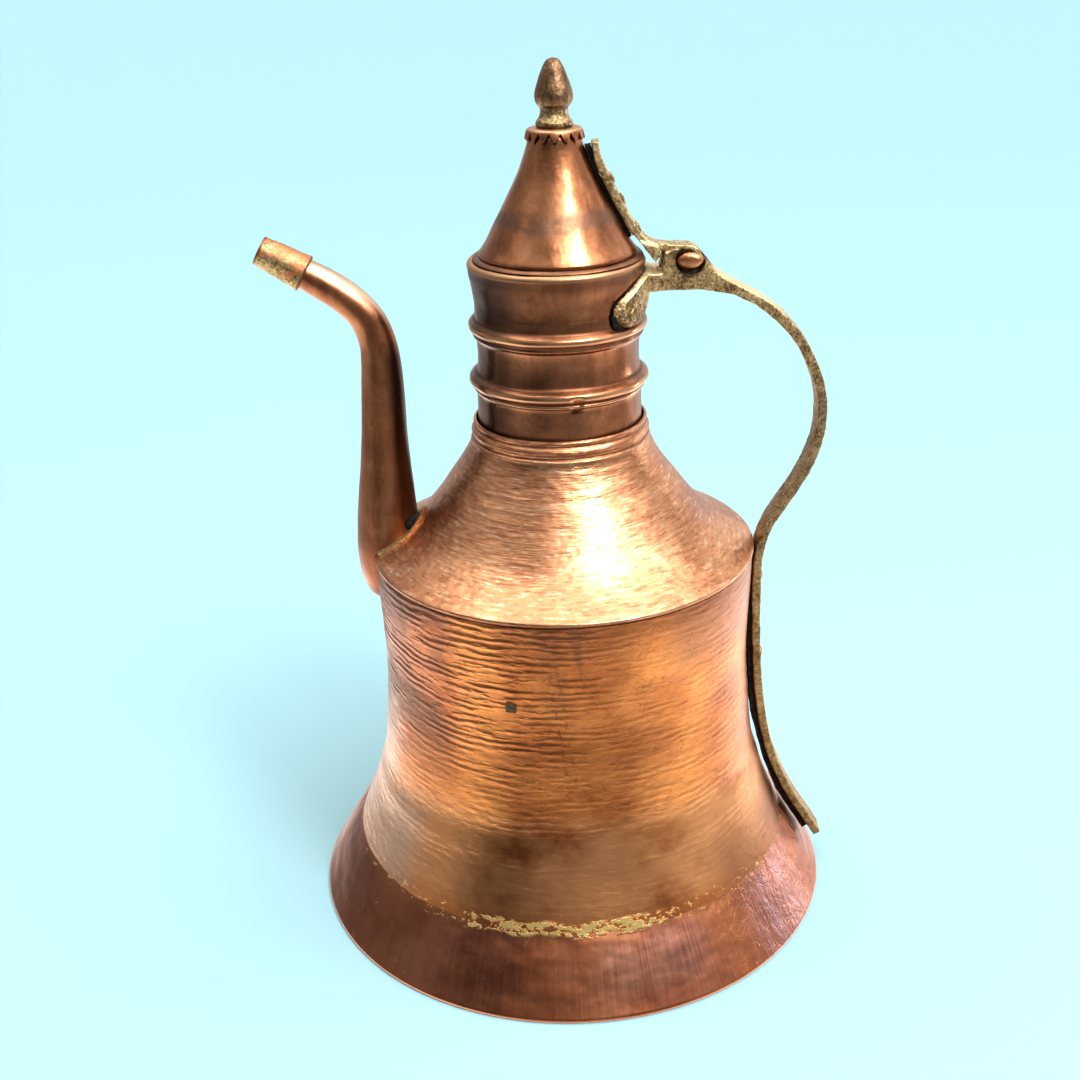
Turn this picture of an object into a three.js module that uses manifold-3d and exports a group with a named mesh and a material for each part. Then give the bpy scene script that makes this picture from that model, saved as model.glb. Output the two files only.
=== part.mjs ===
// Copper water jug: a beaten copper ewer with a bent spout, a hinged conical lid and a cast brass handle.
// Millimetres, +Z up. The origin is on the floor under the middle of the jug, and +X points to the handle.
import * as THREE from 'three';
import { mergeVertices } from 'three/addons/utils/BufferGeometryUtils.js';
import Module from 'manifold-3d';

const wasm = await Module();
wasm.setup();

// Driving dimensions
const SHEET = 1.5; // copper sheet of body, shoulder and pan
const FINE_SHEET = 1.2; // copper sheet of neck, lid and spout
const GAP = 0.3; // between pieces that touch
const ROUND = 36; // facets round the body
const SMALL_ROUND = 24; // facets round the neck and the lid
const TINY_ROUND = 10; // facets round pins and rivets
const CUT = 14; // length of a boring tool that goes right through one wall and its fittings

const PAN_OUTSIDE = [[118.4, 0], [120, 1.6], [116.8, 6.8], [109.2, 19.8], [101.5, 32]];
const PAN_FOOT = { inner: 106, corner: 113, thickness: 1.8, blend: 1 }; // turned-in foot of the pan's wall
const DISC_RADIUS = PAN_FOOT.inner - GAP; // flat bottom let into the foot

const BODY_OUTSIDE = [[102.2, 27.5], [99.5, 31.8], [99.9, 33.2], [93.2, 51], [89.9, 62], [86.8, 73],
  [84.8, 91], [83, 118], [83.3, 138], [84.3, 160], [84.3, 166.8], [83, 167.8], [83, 170.6]];

const SHOULDER_OUTSIDE = [[84.8, 168.1], [84.9, 171.2], [83.2, 172.6], [63.5, 185], [58.8, 191], [51, 201.5],
  [45, 209.5], [39.6, 219.6], [38.6, 222.8], [37.6, 223.6], [38.3, 226.2], [37, 228.8], [37.5, 231.2]];
const COLLAR = { bore: 36.2, bottom: 217.6, top: 231.2 };
const SHOULDER_SKIRT = { inside: 83.4, bottom: 168.1, top: 170.9 }; // laps over the top of the body

const NECK_OUTSIDE = [[35.8, 221.5], [35.6, 244.2], [36.7, 245.6], [38.3, 249], [35.6, 252.6], [35.3, 266.8],
  [36.4, 268.8], [37.8, 272.6], [35.5, 275.2], [35.6, 283], [36.4, 292]];
// The neck's sheet is rolled inwards round a wire
const RIM = { radius: 35.3, height: 297.7, roll: 1.9, channel: 1.05, wire: 0.72 };
const ROLL_ANGLES = [-35, 15, 65, 115, 165, 215, 250];

const LID_X = 0.8; // the lid sits this much towards its hinge
const LID_OUTSIDE = [[32.9, 301.5], [32.4, 303.2], [30, 306.8], [26.3, 313.4], [21, 323.3], [16.3, 332.8],
  [12.2, 342.2], [9.6, 348.6]];
const LID_TOP = 349.4;
const SKIRT_PROFILE = [[30.3, 291.2], [31.5, 291.2], [31.5, 299.9], [34, 299.9], [34, 300.7], [31.2, 301],
  [31, 302.6], [29.9, 302.6], [30.3, 291.2]]; // the ledge at 299.9 rests on the rim

// Pointed teeth hang from the collar
const CROWN = { facets: 22, teeth: 11, notch: 3.4, tip: 345.4, root: 350.1, from: 5, to: 18 };
const CROWN_PROFILE = [[12.1, 345.4], [13.2, 345.4], [11.2, 351], [10.6, 351.8], [2.4, 351.8], [2.4, 350.6],
  [10, 350.6], [12.1, 345.4]];
const WASHER = { radius: 6, bottom: 346.5, top: 347.9 };
const TANG_HOLE = 2.4;
const FINIAL_OUTSIDE = [[0, 343.6], [2.9, 343.9], [3.1, 345.2], [2, 346.2], [2, 352.1], [7.2, 352.1],
  [7.4, 354.2], [6.1, 357.2], [6.1, 359.4], [7.6, 361.8], [8.1, 364], [7.8, 366.4], [6.4, 370], [5, 373.6],
  [3, 377.2], [0, 378.3]];

// Spout: middle line in the XZ plane and outside radius, from the scoop on the body to the mouth
const SPOUT = [[-79, 146, 3.6], [-79, 149.5, 9.4], [-79, 155.7, 11.9], [-79, 162, 13.3], [-78.7, 172, 13.9],
  [-78.2, 183, 13.6], [-77.8, 197, 12.4], [-77.1, 219, 10.4], [-76.2, 241, 9.4], [-75.9, 256, 8.5],
  [-76.8, 266, 7.8], [-80.4, 275.8, 7.3], [-87, 283.4, 7.1], [-95.4, 289.7, 6.9], [-104.6, 295.4, 6.5],
  [-122.9, 306, 5]].map(([x, z, r]) => new THREE.Vector3(x, r, z));
const SPOUT_STEPS = 26;
const SPOUT_SIDES = 14;
const SPOUT_DRAIN = { x: -75, z: 176, radius: 6.5, length: 30 }; // hole in the shoulder under the spout
const FLANGE = { width: 3.6, thickness: 2, middle: [-70, 0, 189], reach: [60, 60, 30] };
const SLEEVE = { length: 21, wall: 1, clearance: 0.5, land: 2, sides: 20 };

// Hinge, on an axis along Y
const HINGE = { x: 55, z: 298.3, pin: 2.6, bore: 2.9, knuckle: 5.2 };
const CHEEK = { inside: 4.9, outside: 9, recess: 6, recessDepth: 1.6 };
const PIN_HEAD = { flatness: 0.64, sides: 20, profile: [[0, 0], [5.1, 0], [5.3, 1.4], [3.6, 2.6], [0, 2.9]] };
const TONGUE = 4.4; // half width of the knuckle between the cheeks
const LID_STRAP = { thickness: 2.8, halfWidth: 5, steps: 22, shoulder: 7 };
const LID_STRAP_LINE = [[16.9, 346], [17.7, 340.6], [20.1, 334.3], [23.2, 327.9], [26.5, 321.4], [30, 314.9],
  [33.8, 308.6], [38.4, 304.4], [44, 303], [50, 302.4], [55, 302]];
const LID_STRAP_PLAN = [[10, 5], [42.4, 5], [43.4, 4.4], [62, 4.4]]; // x, half width
// Thickening under the strap's bend
const LID_STRAP_SHOULDER = [[34.6, 306], [43, 303.4], [43, 300], [41, 297.4], [38.6, 300.6]];
const LID_STRAP_STANDOFF = 3.3; // from the cone to the middle of the strap
const STRAP_OUT = new THREE.Vector3(0.894, 0, 0.447); // away from the cone, square to its side
const LID_RIVETS = [331.6, 322.9, 311.4]; // heights on the side of the cone
const RIVET = { shank: 1.3, hole: 1.6, head: 2.7, rise: 1, burr: 0.7, lift: 0.2 };

// Handle: middle line of the strap in the XZ plane
const GRIP = { halfWidth: 6, thickness: 4.4, tailThickness: 3.7, steps: 46 };
const HANDLE_LINE = [[66, 289], [74.5, 284.6], [84.6, 279.3], [95, 270.8], [102.7, 261.2], [108.2, 250.5],
  [111.9, 240], [113, 229.5], [111.9, 218.5], [108.9, 208.5], [104.3, 198.8], [98.6, 189.4], [92.8, 180.2],
  [88.9, 170.6], [87.2, 160], [87, 148], [87.2, 135], [87.8, 118], [89, 100], [91, 84], [93.8, 69],
  [98.4, 54], [105.2, 38.5], [113.4, 24.5], [120.6, 12.6]];
const BLOCK_SIDE = [[36.9, 286.2], [36.9, 293.6], [43.4, 293.4], [44.6, 301.9], [50, 303.4], [55.6, 303.2],
  [60.6, 299.4], [66.6, 292], [76, 286.2], [74, 282.6], [60.5, 286]];
const BLOCK_HALF = 14;
const BLOCK_PLAN = [[30, BLOCK_HALF], [42, 10.5], [47, 9], [61, 9], [78, 6]]; // x, half width
const SLOT = { start: 42, end: 61.4, floor: 292.3, depth: 30 };
const FORK_PROFILE = [[36, 268], [39.2, 268], [39.2, 283], [40, 296], [36.95, 296], [36, 283], [36, 268]];
const FORK_OUTLINE = [[0, 294.5], [9, 294.3], [16.5, 293], [22.5, 289.9], [27, 286.7], [28.6, 283],
  [27.9, 278.6], [25.4, 275.4], [20.4, 275.6], [15, 277.4], [11, 281], [6, 284.3],
  [0, 285.6]]; // y, z of one half
const FORK_REACH = { from: 10, to: 60 }; // x, the handle's side of the neck only
const FORK_RIVET = { angle: 38, height: 280.5, outside: 39.2 };
const TAIL_TOP = 165; // the strap runs down the body below this height
const TAIL_RIVETS = [{ place: 'upper', z: 152 }, { place: 'lower', z: 112 }];
const PLUG = { angle: -106.4, height: 131.3, size: 4.6, depth: 2.2, sunk: 0.6 };

const COPPER = { color: 0xb4693f, roughness: 0.36, metalness: 1 };
const DARK_COPPER = { color: 0x7d4a30, roughness: 0.42, metalness: 1 };
const BRASS = { color: 0xb08a4a, roughness: 0.48, metalness: 1 };
const STEEL = { color: 0x8a8480, roughness: 0.6, metalness: 1 };

const jug = new THREE.Group();

function piece(name, geometry, look) {
  const mesh = new THREE.Mesh(geometry, new THREE.MeshStandardMaterial(look));
  mesh.name = name;
  jug.add(mesh);
  return mesh;
}

// A closed mesh as a solid: shared corners merged, and the flat triangles at a lathe's poles dropped.
function solid(geometry) {
  const bare = geometry.clone();
  bare.deleteAttribute('normal');
  bare.deleteAttribute('uv');
  const merged = mergeVertices(bare, 1e-4);
  const kept = [];
  for (let i = 0; i < merged.index.count; i += 3) {
    const [a, b, c] = [0, 1, 2].map((k) => merged.index.getX(i + k));
    if (a !== b && b !== c && c !== a) kept.push(a, b, c);
  }
  return new wasm.Manifold(new wasm.Mesh({
    numProp: 3,
    vertProperties: new Float32Array(merged.attributes.position.array),
    triVerts: new Uint32Array(kept),
  }));
}

function geometryOf(manifold) {
  const { vertProperties, triVerts } = manifold.getMesh();
  const geometry = new THREE.BufferGeometry();
  geometry.setAttribute('position', new THREE.BufferAttribute(vertProperties, 3));
  geometry.setIndex(new THREE.BufferAttribute(triVerts, 1));
  geometry.computeVertexNormals();
  return geometry;
}

// A profile of [radius, height] points turned about Z.
function turned(profile, segments) {
  const points = profile.map(([r, z]) => new THREE.Vector2(r, z));
  return new THREE.LatheGeometry(points, segments).rotateX(Math.PI / 2);
}

// A sheet of even thickness turned about Z, from its outside line; the list closes on itself.
function shellProfile(outside, thickness) {
  const inside = outside.map(([r, z], i) => {
    const [r0, z0] = outside[Math.max(i - 1, 0)];
    const [r1, z1] = outside[Math.min(i + 1, outside.length - 1)];
    const length = Math.hypot(r1 - r0, z1 - z0);
    return [r - (thickness * (z1 - z0)) / length, z + (thickness * (r1 - r0)) / length];
  });
  return [...outside, ...inside.reverse(), outside[0]];
}

// A closed outline of [a, b] points as a prism: 'xz' runs along Y, 'yz' along X and 'xy' along Z.
function prism(outline, plane, from, to) {
  const shape = new THREE.Shape(outline.map(([a, b]) => new THREE.Vector2(a, b)));
  const geometry = new THREE.ExtrudeGeometry(shape, { depth: to - from, bevelEnabled: false });
  geometry.translate(0, 0, plane === 'xz' ? -to : from);
  if (plane === 'xz') geometry.rotateX(Math.PI / 2);
  if (plane === 'yz') geometry.rotateX(Math.PI / 2).rotateZ(Math.PI / 2);
  return geometry;
}

// The outline of a strip of given thickness along a smooth line of [x, z] points.
function strip(line, startThickness, endThickness, steps) {
  const curve = new THREE.SplineCurve(line.map(([x, z]) => new THREE.Vector2(x, z)));
  const above = [];
  const below = [];
  for (let i = 0; i <= steps; i += 1) {
    const t = i / steps;
    const at = curve.getPointAt(t);
    const along = curve.getTangentAt(t);
    const half = THREE.MathUtils.lerp(startThickness, endThickness, t) / 2;
    above.push([at.x - along.y * half, at.y + along.x * half]);
    below.push([at.x + along.y * half, at.y - along.x * half]);
  }
  return [...above, ...below.reverse()];
}

function rod(radius, length, segments = TINY_ROUND) {
  return new THREE.CylinderGeometry(radius, radius, length, segments);
}

// A rod along a direction, centred on a point.
function rodAt(radius, length, centre, direction, segments = TINY_ROUND) {
  const turn = new THREE.Quaternion().setFromUnitVectors(new THREE.Vector3(0, 1, 0), direction);
  return rod(radius, length, segments).applyQuaternion(turn).translate(centre.x, centre.y, centre.z);
}

// A rivet along Y, its domed head at the +Y end and its burr at the -Y end of a stack of the given thickness.
function rivetGeometry(stack) {
  const { shank, head, rise, burr } = RIVET;
  const top = stack / 2 + GAP;
  const profile = [[0, -top - burr], [head * 0.7, -top - burr], [head * 0.8, -top], [shank, -top],
    [shank, top], [head, top], [head * 0.8, top + rise * 0.7], [0, top + rise]];
  return new THREE.LatheGeometry(profile.map(([r, y]) => new THREE.Vector2(r, y)), TINY_ROUND);
}

function rivet(name, stack, centre, direction, look) {
  const mesh = piece(name, rivetGeometry(stack), look);
  mesh.position.copy(centre);
  mesh.quaternion.setFromUnitVectors(new THREE.Vector3(0, 1, 0), direction);
}

const polar = (radius, degrees, z) => {
  const angle = THREE.MathUtils.degToRad(degrees);
  return new THREE.Vector3(radius * Math.cos(angle), radius * Math.sin(angle), z);
};
const outward = (degrees) => polar(1, degrees, 0);

// Radius of an outside line at a height
function radiusAt(outside, z) {
  const i = outside.findIndex(([, top], k) => k > 0 && top >= z);
  const [[r0, z0], [r1, z1]] = [outside[i - 1], outside[i]];
  return THREE.MathUtils.mapLinear(z, z0, z1, r0, r1);
}

const alongY = new THREE.Vector3(0, 1, 0);
const alongZ = new THREE.Vector3(0, 0, 1);
const hinge = new THREE.Vector3(HINGE.x, 0, HINGE.z);
const pinBore = solid(rodAt(HINGE.bore, 3 * CUT, hinge, alongY));
const biggest = (manifold) => manifold.decompose().sort((a, b) => b.volume() - a.volume())[0];
const mirrored = (plan) => [...plan.map(([x, y]) => [x, -y]), ...plan.map(([x, y]) => [x, y]).reverse()];

// Rivet places: two through the fork and the neck, two through the tail and the body
const forkInside = radiusAt(NECK_OUTSIDE, FORK_RIVET.height) - FINE_SHEET;
const forkStack = FORK_RIVET.outside - forkInside;
const forkMiddle = (FORK_RIVET.outside + forkInside) / 2;
const forkRivets = ['near', 'far'].map((side) => {
  const angle = side === 'near' ? -FORK_RIVET.angle : FORK_RIVET.angle;
  return { side, out: outward(angle), middle: polar(forkMiddle, angle, FORK_RIVET.height) };
});
const handleCurve = new THREE.SplineCurve(HANDLE_LINE.map(([x, z]) => new THREE.Vector2(x, z)));
const tailLine = handleCurve.getSpacedPoints(300).filter((p) => p.y < TAIL_TOP);
const tailRivets = TAIL_RIVETS.map(({ place, z }) => {
  const [nearest] = tailLine.sort((a, b) => Math.abs(a.y - z) - Math.abs(b.y - z));
  const outside = nearest.x + GRIP.tailThickness / 2 + RIVET.lift;
  const inside = radiusAt(BODY_OUTSIDE, z) - SHEET;
  return { place, stack: outside - inside, middle: new THREE.Vector3((outside + inside) / 2, 0, z) };
});
const forkHoles = forkRivets.map(({ out, middle }) => solid(rodAt(RIVET.hole, CUT, middle, out)));
const tailHoles = tailRivets.map(({ middle }) => solid(rodAt(RIVET.hole, 2 * CUT, middle, outward(0))));

function bored(manifold, holes) {
  return holes.reduce((rest, hole) => rest.subtract(hole), manifold);
}

// Base: the flared wall of the pan with its turned-in foot, and the flat disc let into it
const panInside = shellProfile(PAN_OUTSIDE, SHEET).slice(PAN_OUTSIDE.length, -1)
  .filter(([, z]) => z > PAN_FOOT.thickness + PAN_FOOT.blend);
const { inner: footInner, corner: footCorner, thickness: footTop } = PAN_FOOT;
piece('base_pan', turned([[footInner, 0], ...PAN_OUTSIDE, ...panInside, [footCorner, footTop],
  [footInner, footTop], [footInner, 0]], ROUND), COPPER);
piece('base_disc', turned([[0, 0], [DISC_RADIUS, 0], [DISC_RADIUS, footTop], [0, footTop]], ROUND), COPPER);

// Body shell, lapped inside the pan's rim, with the square plug let into it
const plugPoint = polar(radiusAt(BODY_OUTSIDE, PLUG.height) - PLUG.sunk, PLUG.angle, PLUG.height);
const plugBlock = (size, length) => new THREE.BoxGeometry(length, size, size)
  .rotateZ(THREE.MathUtils.degToRad(PLUG.angle)).translate(plugPoint.x, plugPoint.y, plugPoint.z);
const body = solid(turned(shellProfile(BODY_OUTSIDE, SHEET), ROUND));
const plugHole = solid(plugBlock(PLUG.size + 2 * GAP, CUT));
piece('body_shell', geometryOf(bored(body, [...tailHoles, plugHole])), COPPER);
piece('body_plug', plugBlock(PLUG.size, PLUG.depth), DARK_COPPER);

// Shoulder, with its skirt over the body, its collar round the neck and its hole under the spout
const shoulderInside = shellProfile(SHOULDER_OUTSIDE, SHEET).slice(SHOULDER_OUTSIDE.length, -1)
  .filter(([, z]) => z > SHOULDER_SKIRT.top + GAP && z < COLLAR.bottom - SHEET);
const shoulder = solid(turned([...SHOULDER_OUTSIDE, [COLLAR.bore, COLLAR.top], [COLLAR.bore, COLLAR.bottom],
  ...shoulderInside, [SHOULDER_SKIRT.inside, SHOULDER_SKIRT.top],
  [SHOULDER_SKIRT.inside, SHOULDER_SKIRT.bottom],
  SHOULDER_OUTSIDE[0]], ROUND));
const drain = solid(rodAt(SPOUT_DRAIN.radius, SPOUT_DRAIN.length,
  new THREE.Vector3(SPOUT_DRAIN.x, 0, SPOUT_DRAIN.z), alongZ));
piece('shoulder_cone', geometryOf(shoulder.subtract(drain)), COPPER);

// Neck, its rim rolled inwards round a wire, with a slit left where the roll ends
const onRoll = (radius) => (degrees) => {
  const angle = THREE.MathUtils.degToRad(degrees);
  return [RIM.radius + radius * Math.cos(angle), RIM.height + radius * Math.sin(angle)];
};
const neckInside = shellProfile(NECK_OUTSIDE, FINE_SHEET).slice(NECK_OUTSIDE.length, -1);
const neck = solid(turned([...NECK_OUTSIDE, ...ROLL_ANGLES.map(onRoll(RIM.roll)),
  ...ROLL_ANGLES.map(onRoll(RIM.channel)).reverse(), ...neckInside, NECK_OUTSIDE[0]], SMALL_ROUND));
piece('neck_tube', geometryOf(bored(neck, forkHoles)), COPPER);
const wireSection = [0, 45, 90, 135, 180, 225, 270, 315, 0].map(onRoll(RIM.wire));
piece('rim_wire', turned(wireSection, SMALL_ROUND), STEEL);

// Spout: a tapering tube bent along its line and cut to the outside of the jug
const spoutCurve = new THREE.CatmullRomCurve3(SPOUT, false, 'centripetal');

// A closed lathe profile of [radius, step] points, with its axis bent along the spout's line.
function bentAlongSpout(profile) {
  const straight = profile.map(([r, step]) => new THREE.Vector2(r, step));
  const geometry = new THREE.LatheGeometry(straight, SPOUT_SIDES);
  const position = geometry.attributes.position;
  for (let i = 0; i < position.count; i += 1) {
    const t = position.getY(i) / SPOUT_STEPS;
    const inRange = THREE.MathUtils.clamp(t, 0, 1);
    const tangent = spoutCurve.getTangentAt(inRange).setY(0).normalize();
    const point = spoutCurve.getPointAt(inRange).setY(0)
      .addScaledVector(tangent, (t - inRange) * spoutCurve.getLength())
      .addScaledVector(new THREE.Vector3().crossVectors(tangent, alongY), position.getX(i))
      .addScaledVector(alongY, position.getZ(i));
    position.setXYZ(i, point.x, point.y, point.z);
  }
  return geometry;
}

// The spout's outside grown by a distance, run past both ends by a number of steps.
function spoutRod(growth, overrun) {
  const profile = [];
  for (let i = -overrun; i <= SPOUT_STEPS + overrun; i += 1) {
    const radius = spoutCurve.getPointAt(THREE.MathUtils.clamp(i / SPOUT_STEPS, 0, 1)).y;
    profile.push([radius + growth, i]);
  }
  return solid(bentAlongSpout([[0, -overrun], ...profile, [0, SPOUT_STEPS + overrun]]));
}

// Everything inside the outside of body and shoulder, grown by a distance
function jugWithin(growth) {
  const skin = [...BODY_OUTSIDE.slice(2, -3), ...SHOULDER_OUTSIDE];
  const grown = shellProfile(skin, -growth).slice(skin.length, -1).reverse();
  return solid(turned([[0, grown[0][1]], ...grown, [0, grown[grown.length - 1][1]]], ROUND));
}

const spout = spoutRod(0, 0).subtract(spoutRod(-FINE_SHEET, 1)).subtract(jugWithin(GAP));
piece('spout_tube', geometryOf(biggest(spout)), DARK_COPPER);

const flangeZone = solid(new THREE.BoxGeometry(...FLANGE.reach).translate(...FLANGE.middle));
const flange = jugWithin(FLANGE.thickness).subtract(jugWithin(GAP)).intersect(flangeZone)
  .intersect(spoutRod(FLANGE.width, 0)).subtract(spoutRod(GAP, 0));
piece('spout_flange', geometryOf(biggest(flange)), DARK_COPPER);

const mouth = spoutCurve.getPointAt(1);
const mouthward = spoutCurve.getTangentAt(1).setY(0).normalize();
const sleeveBack = spoutCurve.getPointAt(1 - SLEEVE.length / spoutCurve.getLength()).y + SLEEVE.clearance;
const sleeveFront = mouth.y + SLEEVE.clearance;
const sleeveProfile = [[sleeveBack, 0], [sleeveBack + SLEEVE.wall, 0],
  [sleeveBack + SLEEVE.wall, SLEEVE.land], [sleeveFront + SLEEVE.wall, SLEEVE.length],
  [sleeveFront, SLEEVE.length], [sleeveBack, 0]];
const sleeve = piece('spout_sleeve',
  new THREE.LatheGeometry(sleeveProfile.map(([r, y]) => new THREE.Vector2(r, y)), SLEEVE.sides), BRASS);
sleeve.position.set(mouth.x, 0, mouth.z).addScaledVector(mouthward, -SLEEVE.length);
sleeve.quaternion.setFromUnitVectors(alongY, mouthward);

// Handle: the strap, the hinge block with its cheeks and the fork round the neck, in one casting
const grip = solid(prism(strip(HANDLE_LINE, GRIP.thickness, GRIP.tailThickness, GRIP.steps), 'xz',
  -GRIP.halfWidth, GRIP.halfWidth));
const slot = new THREE.BoxGeometry(SLOT.end - SLOT.start, 2 * CHEEK.inside, SLOT.depth)
  .translate((SLOT.start + SLOT.end) / 2, 0, SLOT.floor + SLOT.depth / 2);
const recesses = [-1, 1].map((side) => {
  const middle = new THREE.Vector3(HINGE.x, side * (CHEEK.outside - CHEEK.recessDepth + CUT / 2), HINGE.z);
  return solid(rodAt(CHEEK.recess, CUT, middle, alongY));
});
const block = solid(prism(BLOCK_SIDE, 'xz', -BLOCK_HALF, BLOCK_HALF))
  .intersect(solid(prism(mirrored(BLOCK_PLAN), 'xy', 0, 2 * HINGE.z)));
const forkOutline = [...FORK_OUTLINE, ...FORK_OUTLINE.slice(1, -1).reverse().map(([y, z]) => [-y, z])];
const fork = solid(turned(FORK_PROFILE, 2 * ROUND))
  .intersect(solid(prism(forkOutline, 'yz', FORK_REACH.from, FORK_REACH.to)));
const casting = grip.add(block).add(fork);
const handle = bored(casting, [solid(slot), pinBore, ...recesses, ...forkHoles, ...tailHoles]);
piece('handle', geometryOf(handle), BRASS);

// Hinge pin, both ends peened over in the recesses of the cheeks
const headBase = CHEEK.outside - CHEEK.recessDepth + GAP;
const pinHeadLine = PIN_HEAD.profile.map(([r, y]) => new THREE.Vector2(r, y));
const pinHead = new THREE.LatheGeometry(pinHeadLine, PIN_HEAD.sides)
  .scale(1, 1, PIN_HEAD.flatness).translate(0, headBase, 0);
const farHead = solid(pinHead);
const nearHead = solid(pinHead.clone().rotateX(Math.PI));
const pinRod = solid(rod(HINGE.pin, 2 * headBase + 1));
const pin = piece('hinge_pin', geometryOf(pinRod.add(farHead).add(nearHead)), COPPER);
pin.position.copy(hinge);

for (const { side, out, middle } of forkRivets) {
  rivet(`neck_fork_rivet_${side}`, forkStack, middle, out, BRASS);
}
for (const { place, stack, middle } of tailRivets) {
  rivet(`handle_tail_rivet_${place}`, stack, middle, outward(0), BRASS);
}

// Lid: cone, skirt ring, crown collar, and the finial with its tang peened over a washer
const lid = new THREE.Group();
lid.position.x = LID_X;
jug.add(lid);
const lidInside = shellProfile(LID_OUTSIDE, FINE_SHEET).slice(LID_OUTSIDE.length, -1);
const cone = solid(turned([...LID_OUTSIDE, [9, LID_TOP], [TANG_HOLE, LID_TOP],
  [TANG_HOLE, LID_TOP - FINE_SHEET], ...lidInside, LID_OUTSIDE[0]], SMALL_ROUND));
const lidStack = LID_STRAP_STANDOFF + LID_STRAP.thickness / 2 + FINE_SHEET;
const lidRivets = LID_RIVETS.map((z) => new THREE.Vector3(radiusAt(LID_OUTSIDE, z) + LID_X, 0, z)
  .addScaledVector(STRAP_OUT, lidStack / 2 - FINE_SHEET));
const lidHoles = lidRivets.map((middle) => rodAt(RIVET.hole, CUT, middle, STRAP_OUT));
const coneHoles = lidHoles.map((hole) => solid(hole.clone().translate(-LID_X, 0, 0)));
lid.add(piece('lid_cone', geometryOf(bored(cone, coneHoles)), COPPER));
lid.add(piece('lid_skirt', turned(SKIRT_PROFILE, SMALL_ROUND), COPPER));

const notchOutline = [[-CROWN.notch, CROWN.tip - GAP], [CROWN.notch, CROWN.tip - GAP], [0, CROWN.root]];
const notches = Array.from({ length: CROWN.teeth }, (_, i) => (
  solid(prism(notchOutline, 'yz', CROWN.from, CROWN.to).rotateZ((2 * Math.PI * (i + 0.5)) / CROWN.teeth))));
const collar = bored(solid(turned(CROWN_PROFILE, CROWN.facets)), notches);
lid.add(piece('crown_collar', geometryOf(collar), COPPER));
lid.add(piece('finial', turned(FINIAL_OUTSIDE, SMALL_ROUND), BRASS));
const washerProfile = [[TANG_HOLE, WASHER.bottom], [WASHER.radius, WASHER.bottom],
  [WASHER.radius, WASHER.top], [TANG_HOLE, WASHER.top], [TANG_HOLE, WASHER.bottom]];
lid.add(piece('finial_washer', turned(washerProfile, TINY_ROUND), COPPER));

// Lid strap: down the cone, over the rim and round the pin, riveted to the cone
const barOutline = strip(LID_STRAP_LINE, LID_STRAP.thickness, LID_STRAP.thickness, LID_STRAP.steps);
const bar = solid(prism(barOutline, 'xz', -LID_STRAP.halfWidth, LID_STRAP.halfWidth));
const barPlan = solid(prism(mirrored(LID_STRAP_PLAN), 'xy', 0, 2 * HINGE.z));
const strapShoulder = solid(prism(LID_STRAP_SHOULDER, 'xz', -LID_STRAP.shoulder, LID_STRAP.shoulder));
const knuckle = solid(rodAt(HINGE.knuckle, 2 * TONGUE, hinge, alongY, SMALL_ROUND));
const lidStrap = bar.intersect(barPlan).add(strapShoulder).add(knuckle);
piece('lid_strap', geometryOf(bored(lidStrap, [pinBore, ...lidHoles.map(solid)])), BRASS);
lidRivets.forEach((middle, i) => rivet(`lid_strap_rivet_${i + 1}`, lidStack, middle, STRAP_OUT, BRASS));

export default jug;
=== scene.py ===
import math

import bpy
from mathutils import Matrix, Vector


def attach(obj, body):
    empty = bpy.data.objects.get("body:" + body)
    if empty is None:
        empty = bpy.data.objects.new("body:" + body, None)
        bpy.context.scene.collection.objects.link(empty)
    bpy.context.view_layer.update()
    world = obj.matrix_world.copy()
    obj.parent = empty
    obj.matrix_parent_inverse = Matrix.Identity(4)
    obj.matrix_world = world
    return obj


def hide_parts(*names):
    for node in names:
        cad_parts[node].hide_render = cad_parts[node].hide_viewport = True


# Copper water jug: a beaten ewer with a bent spout, a hinged conical lid and a cast brass handle.
# Metres, +Z up, +X towards the handle, as the CAD frame has it. Outlines are drawn in millimetres.
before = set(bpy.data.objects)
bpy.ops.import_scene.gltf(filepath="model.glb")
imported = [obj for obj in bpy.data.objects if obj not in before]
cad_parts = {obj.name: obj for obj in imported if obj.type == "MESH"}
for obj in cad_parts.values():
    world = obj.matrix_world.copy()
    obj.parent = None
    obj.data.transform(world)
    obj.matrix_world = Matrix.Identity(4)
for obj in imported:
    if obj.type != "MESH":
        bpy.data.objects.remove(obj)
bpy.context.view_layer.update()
MM = 0.001
bpy.context.scene.view_settings.view_transform = "Standard"


# ---- Camera ----
# A short telephoto lens above the front of the jug, looking down on it. It is turned a little to the left
# and held a little off level.
CAMERA_PLACE = Vector((0, -0.5903, 0.4316))
TILT_DOWN, TURN_LEFT, OFF_LEVEL = (math.radians(a) for a in (23.79, 1.02, -1.94))
camera_data = bpy.data.cameras.new("camera")
camera_data.sensor_width = 36
camera_data.lens = 47.67
camera = bpy.data.objects.new("camera", camera_data)
bpy.context.scene.collection.objects.link(camera)
camera.matrix_world = (
    Matrix.Translation(CAMERA_PLACE)
    @ Matrix.Rotation(TURN_LEFT, 4, "Z")
    @ Matrix.Rotation(math.pi / 2 - TILT_DOWN, 4, "X")
    @ Matrix.Rotation(OFF_LEVEL, 4, "Z")
)
bpy.context.scene.camera = camera


# ---- Floor and light ----
# A pale floor, and a soft room of light round it: bright overhead and at both sides, darker in front. The
# camera itself sees a plain pale wall in place of the room.
FLOOR_TINTS = (0.296, 0.500, 0.560), (0.302, 0.511, 0.572)
WALL_TINT = (0.59, 0.93, 1.0)
LIGHT_TINT = (1.0, 0.985, 0.96)
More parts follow.
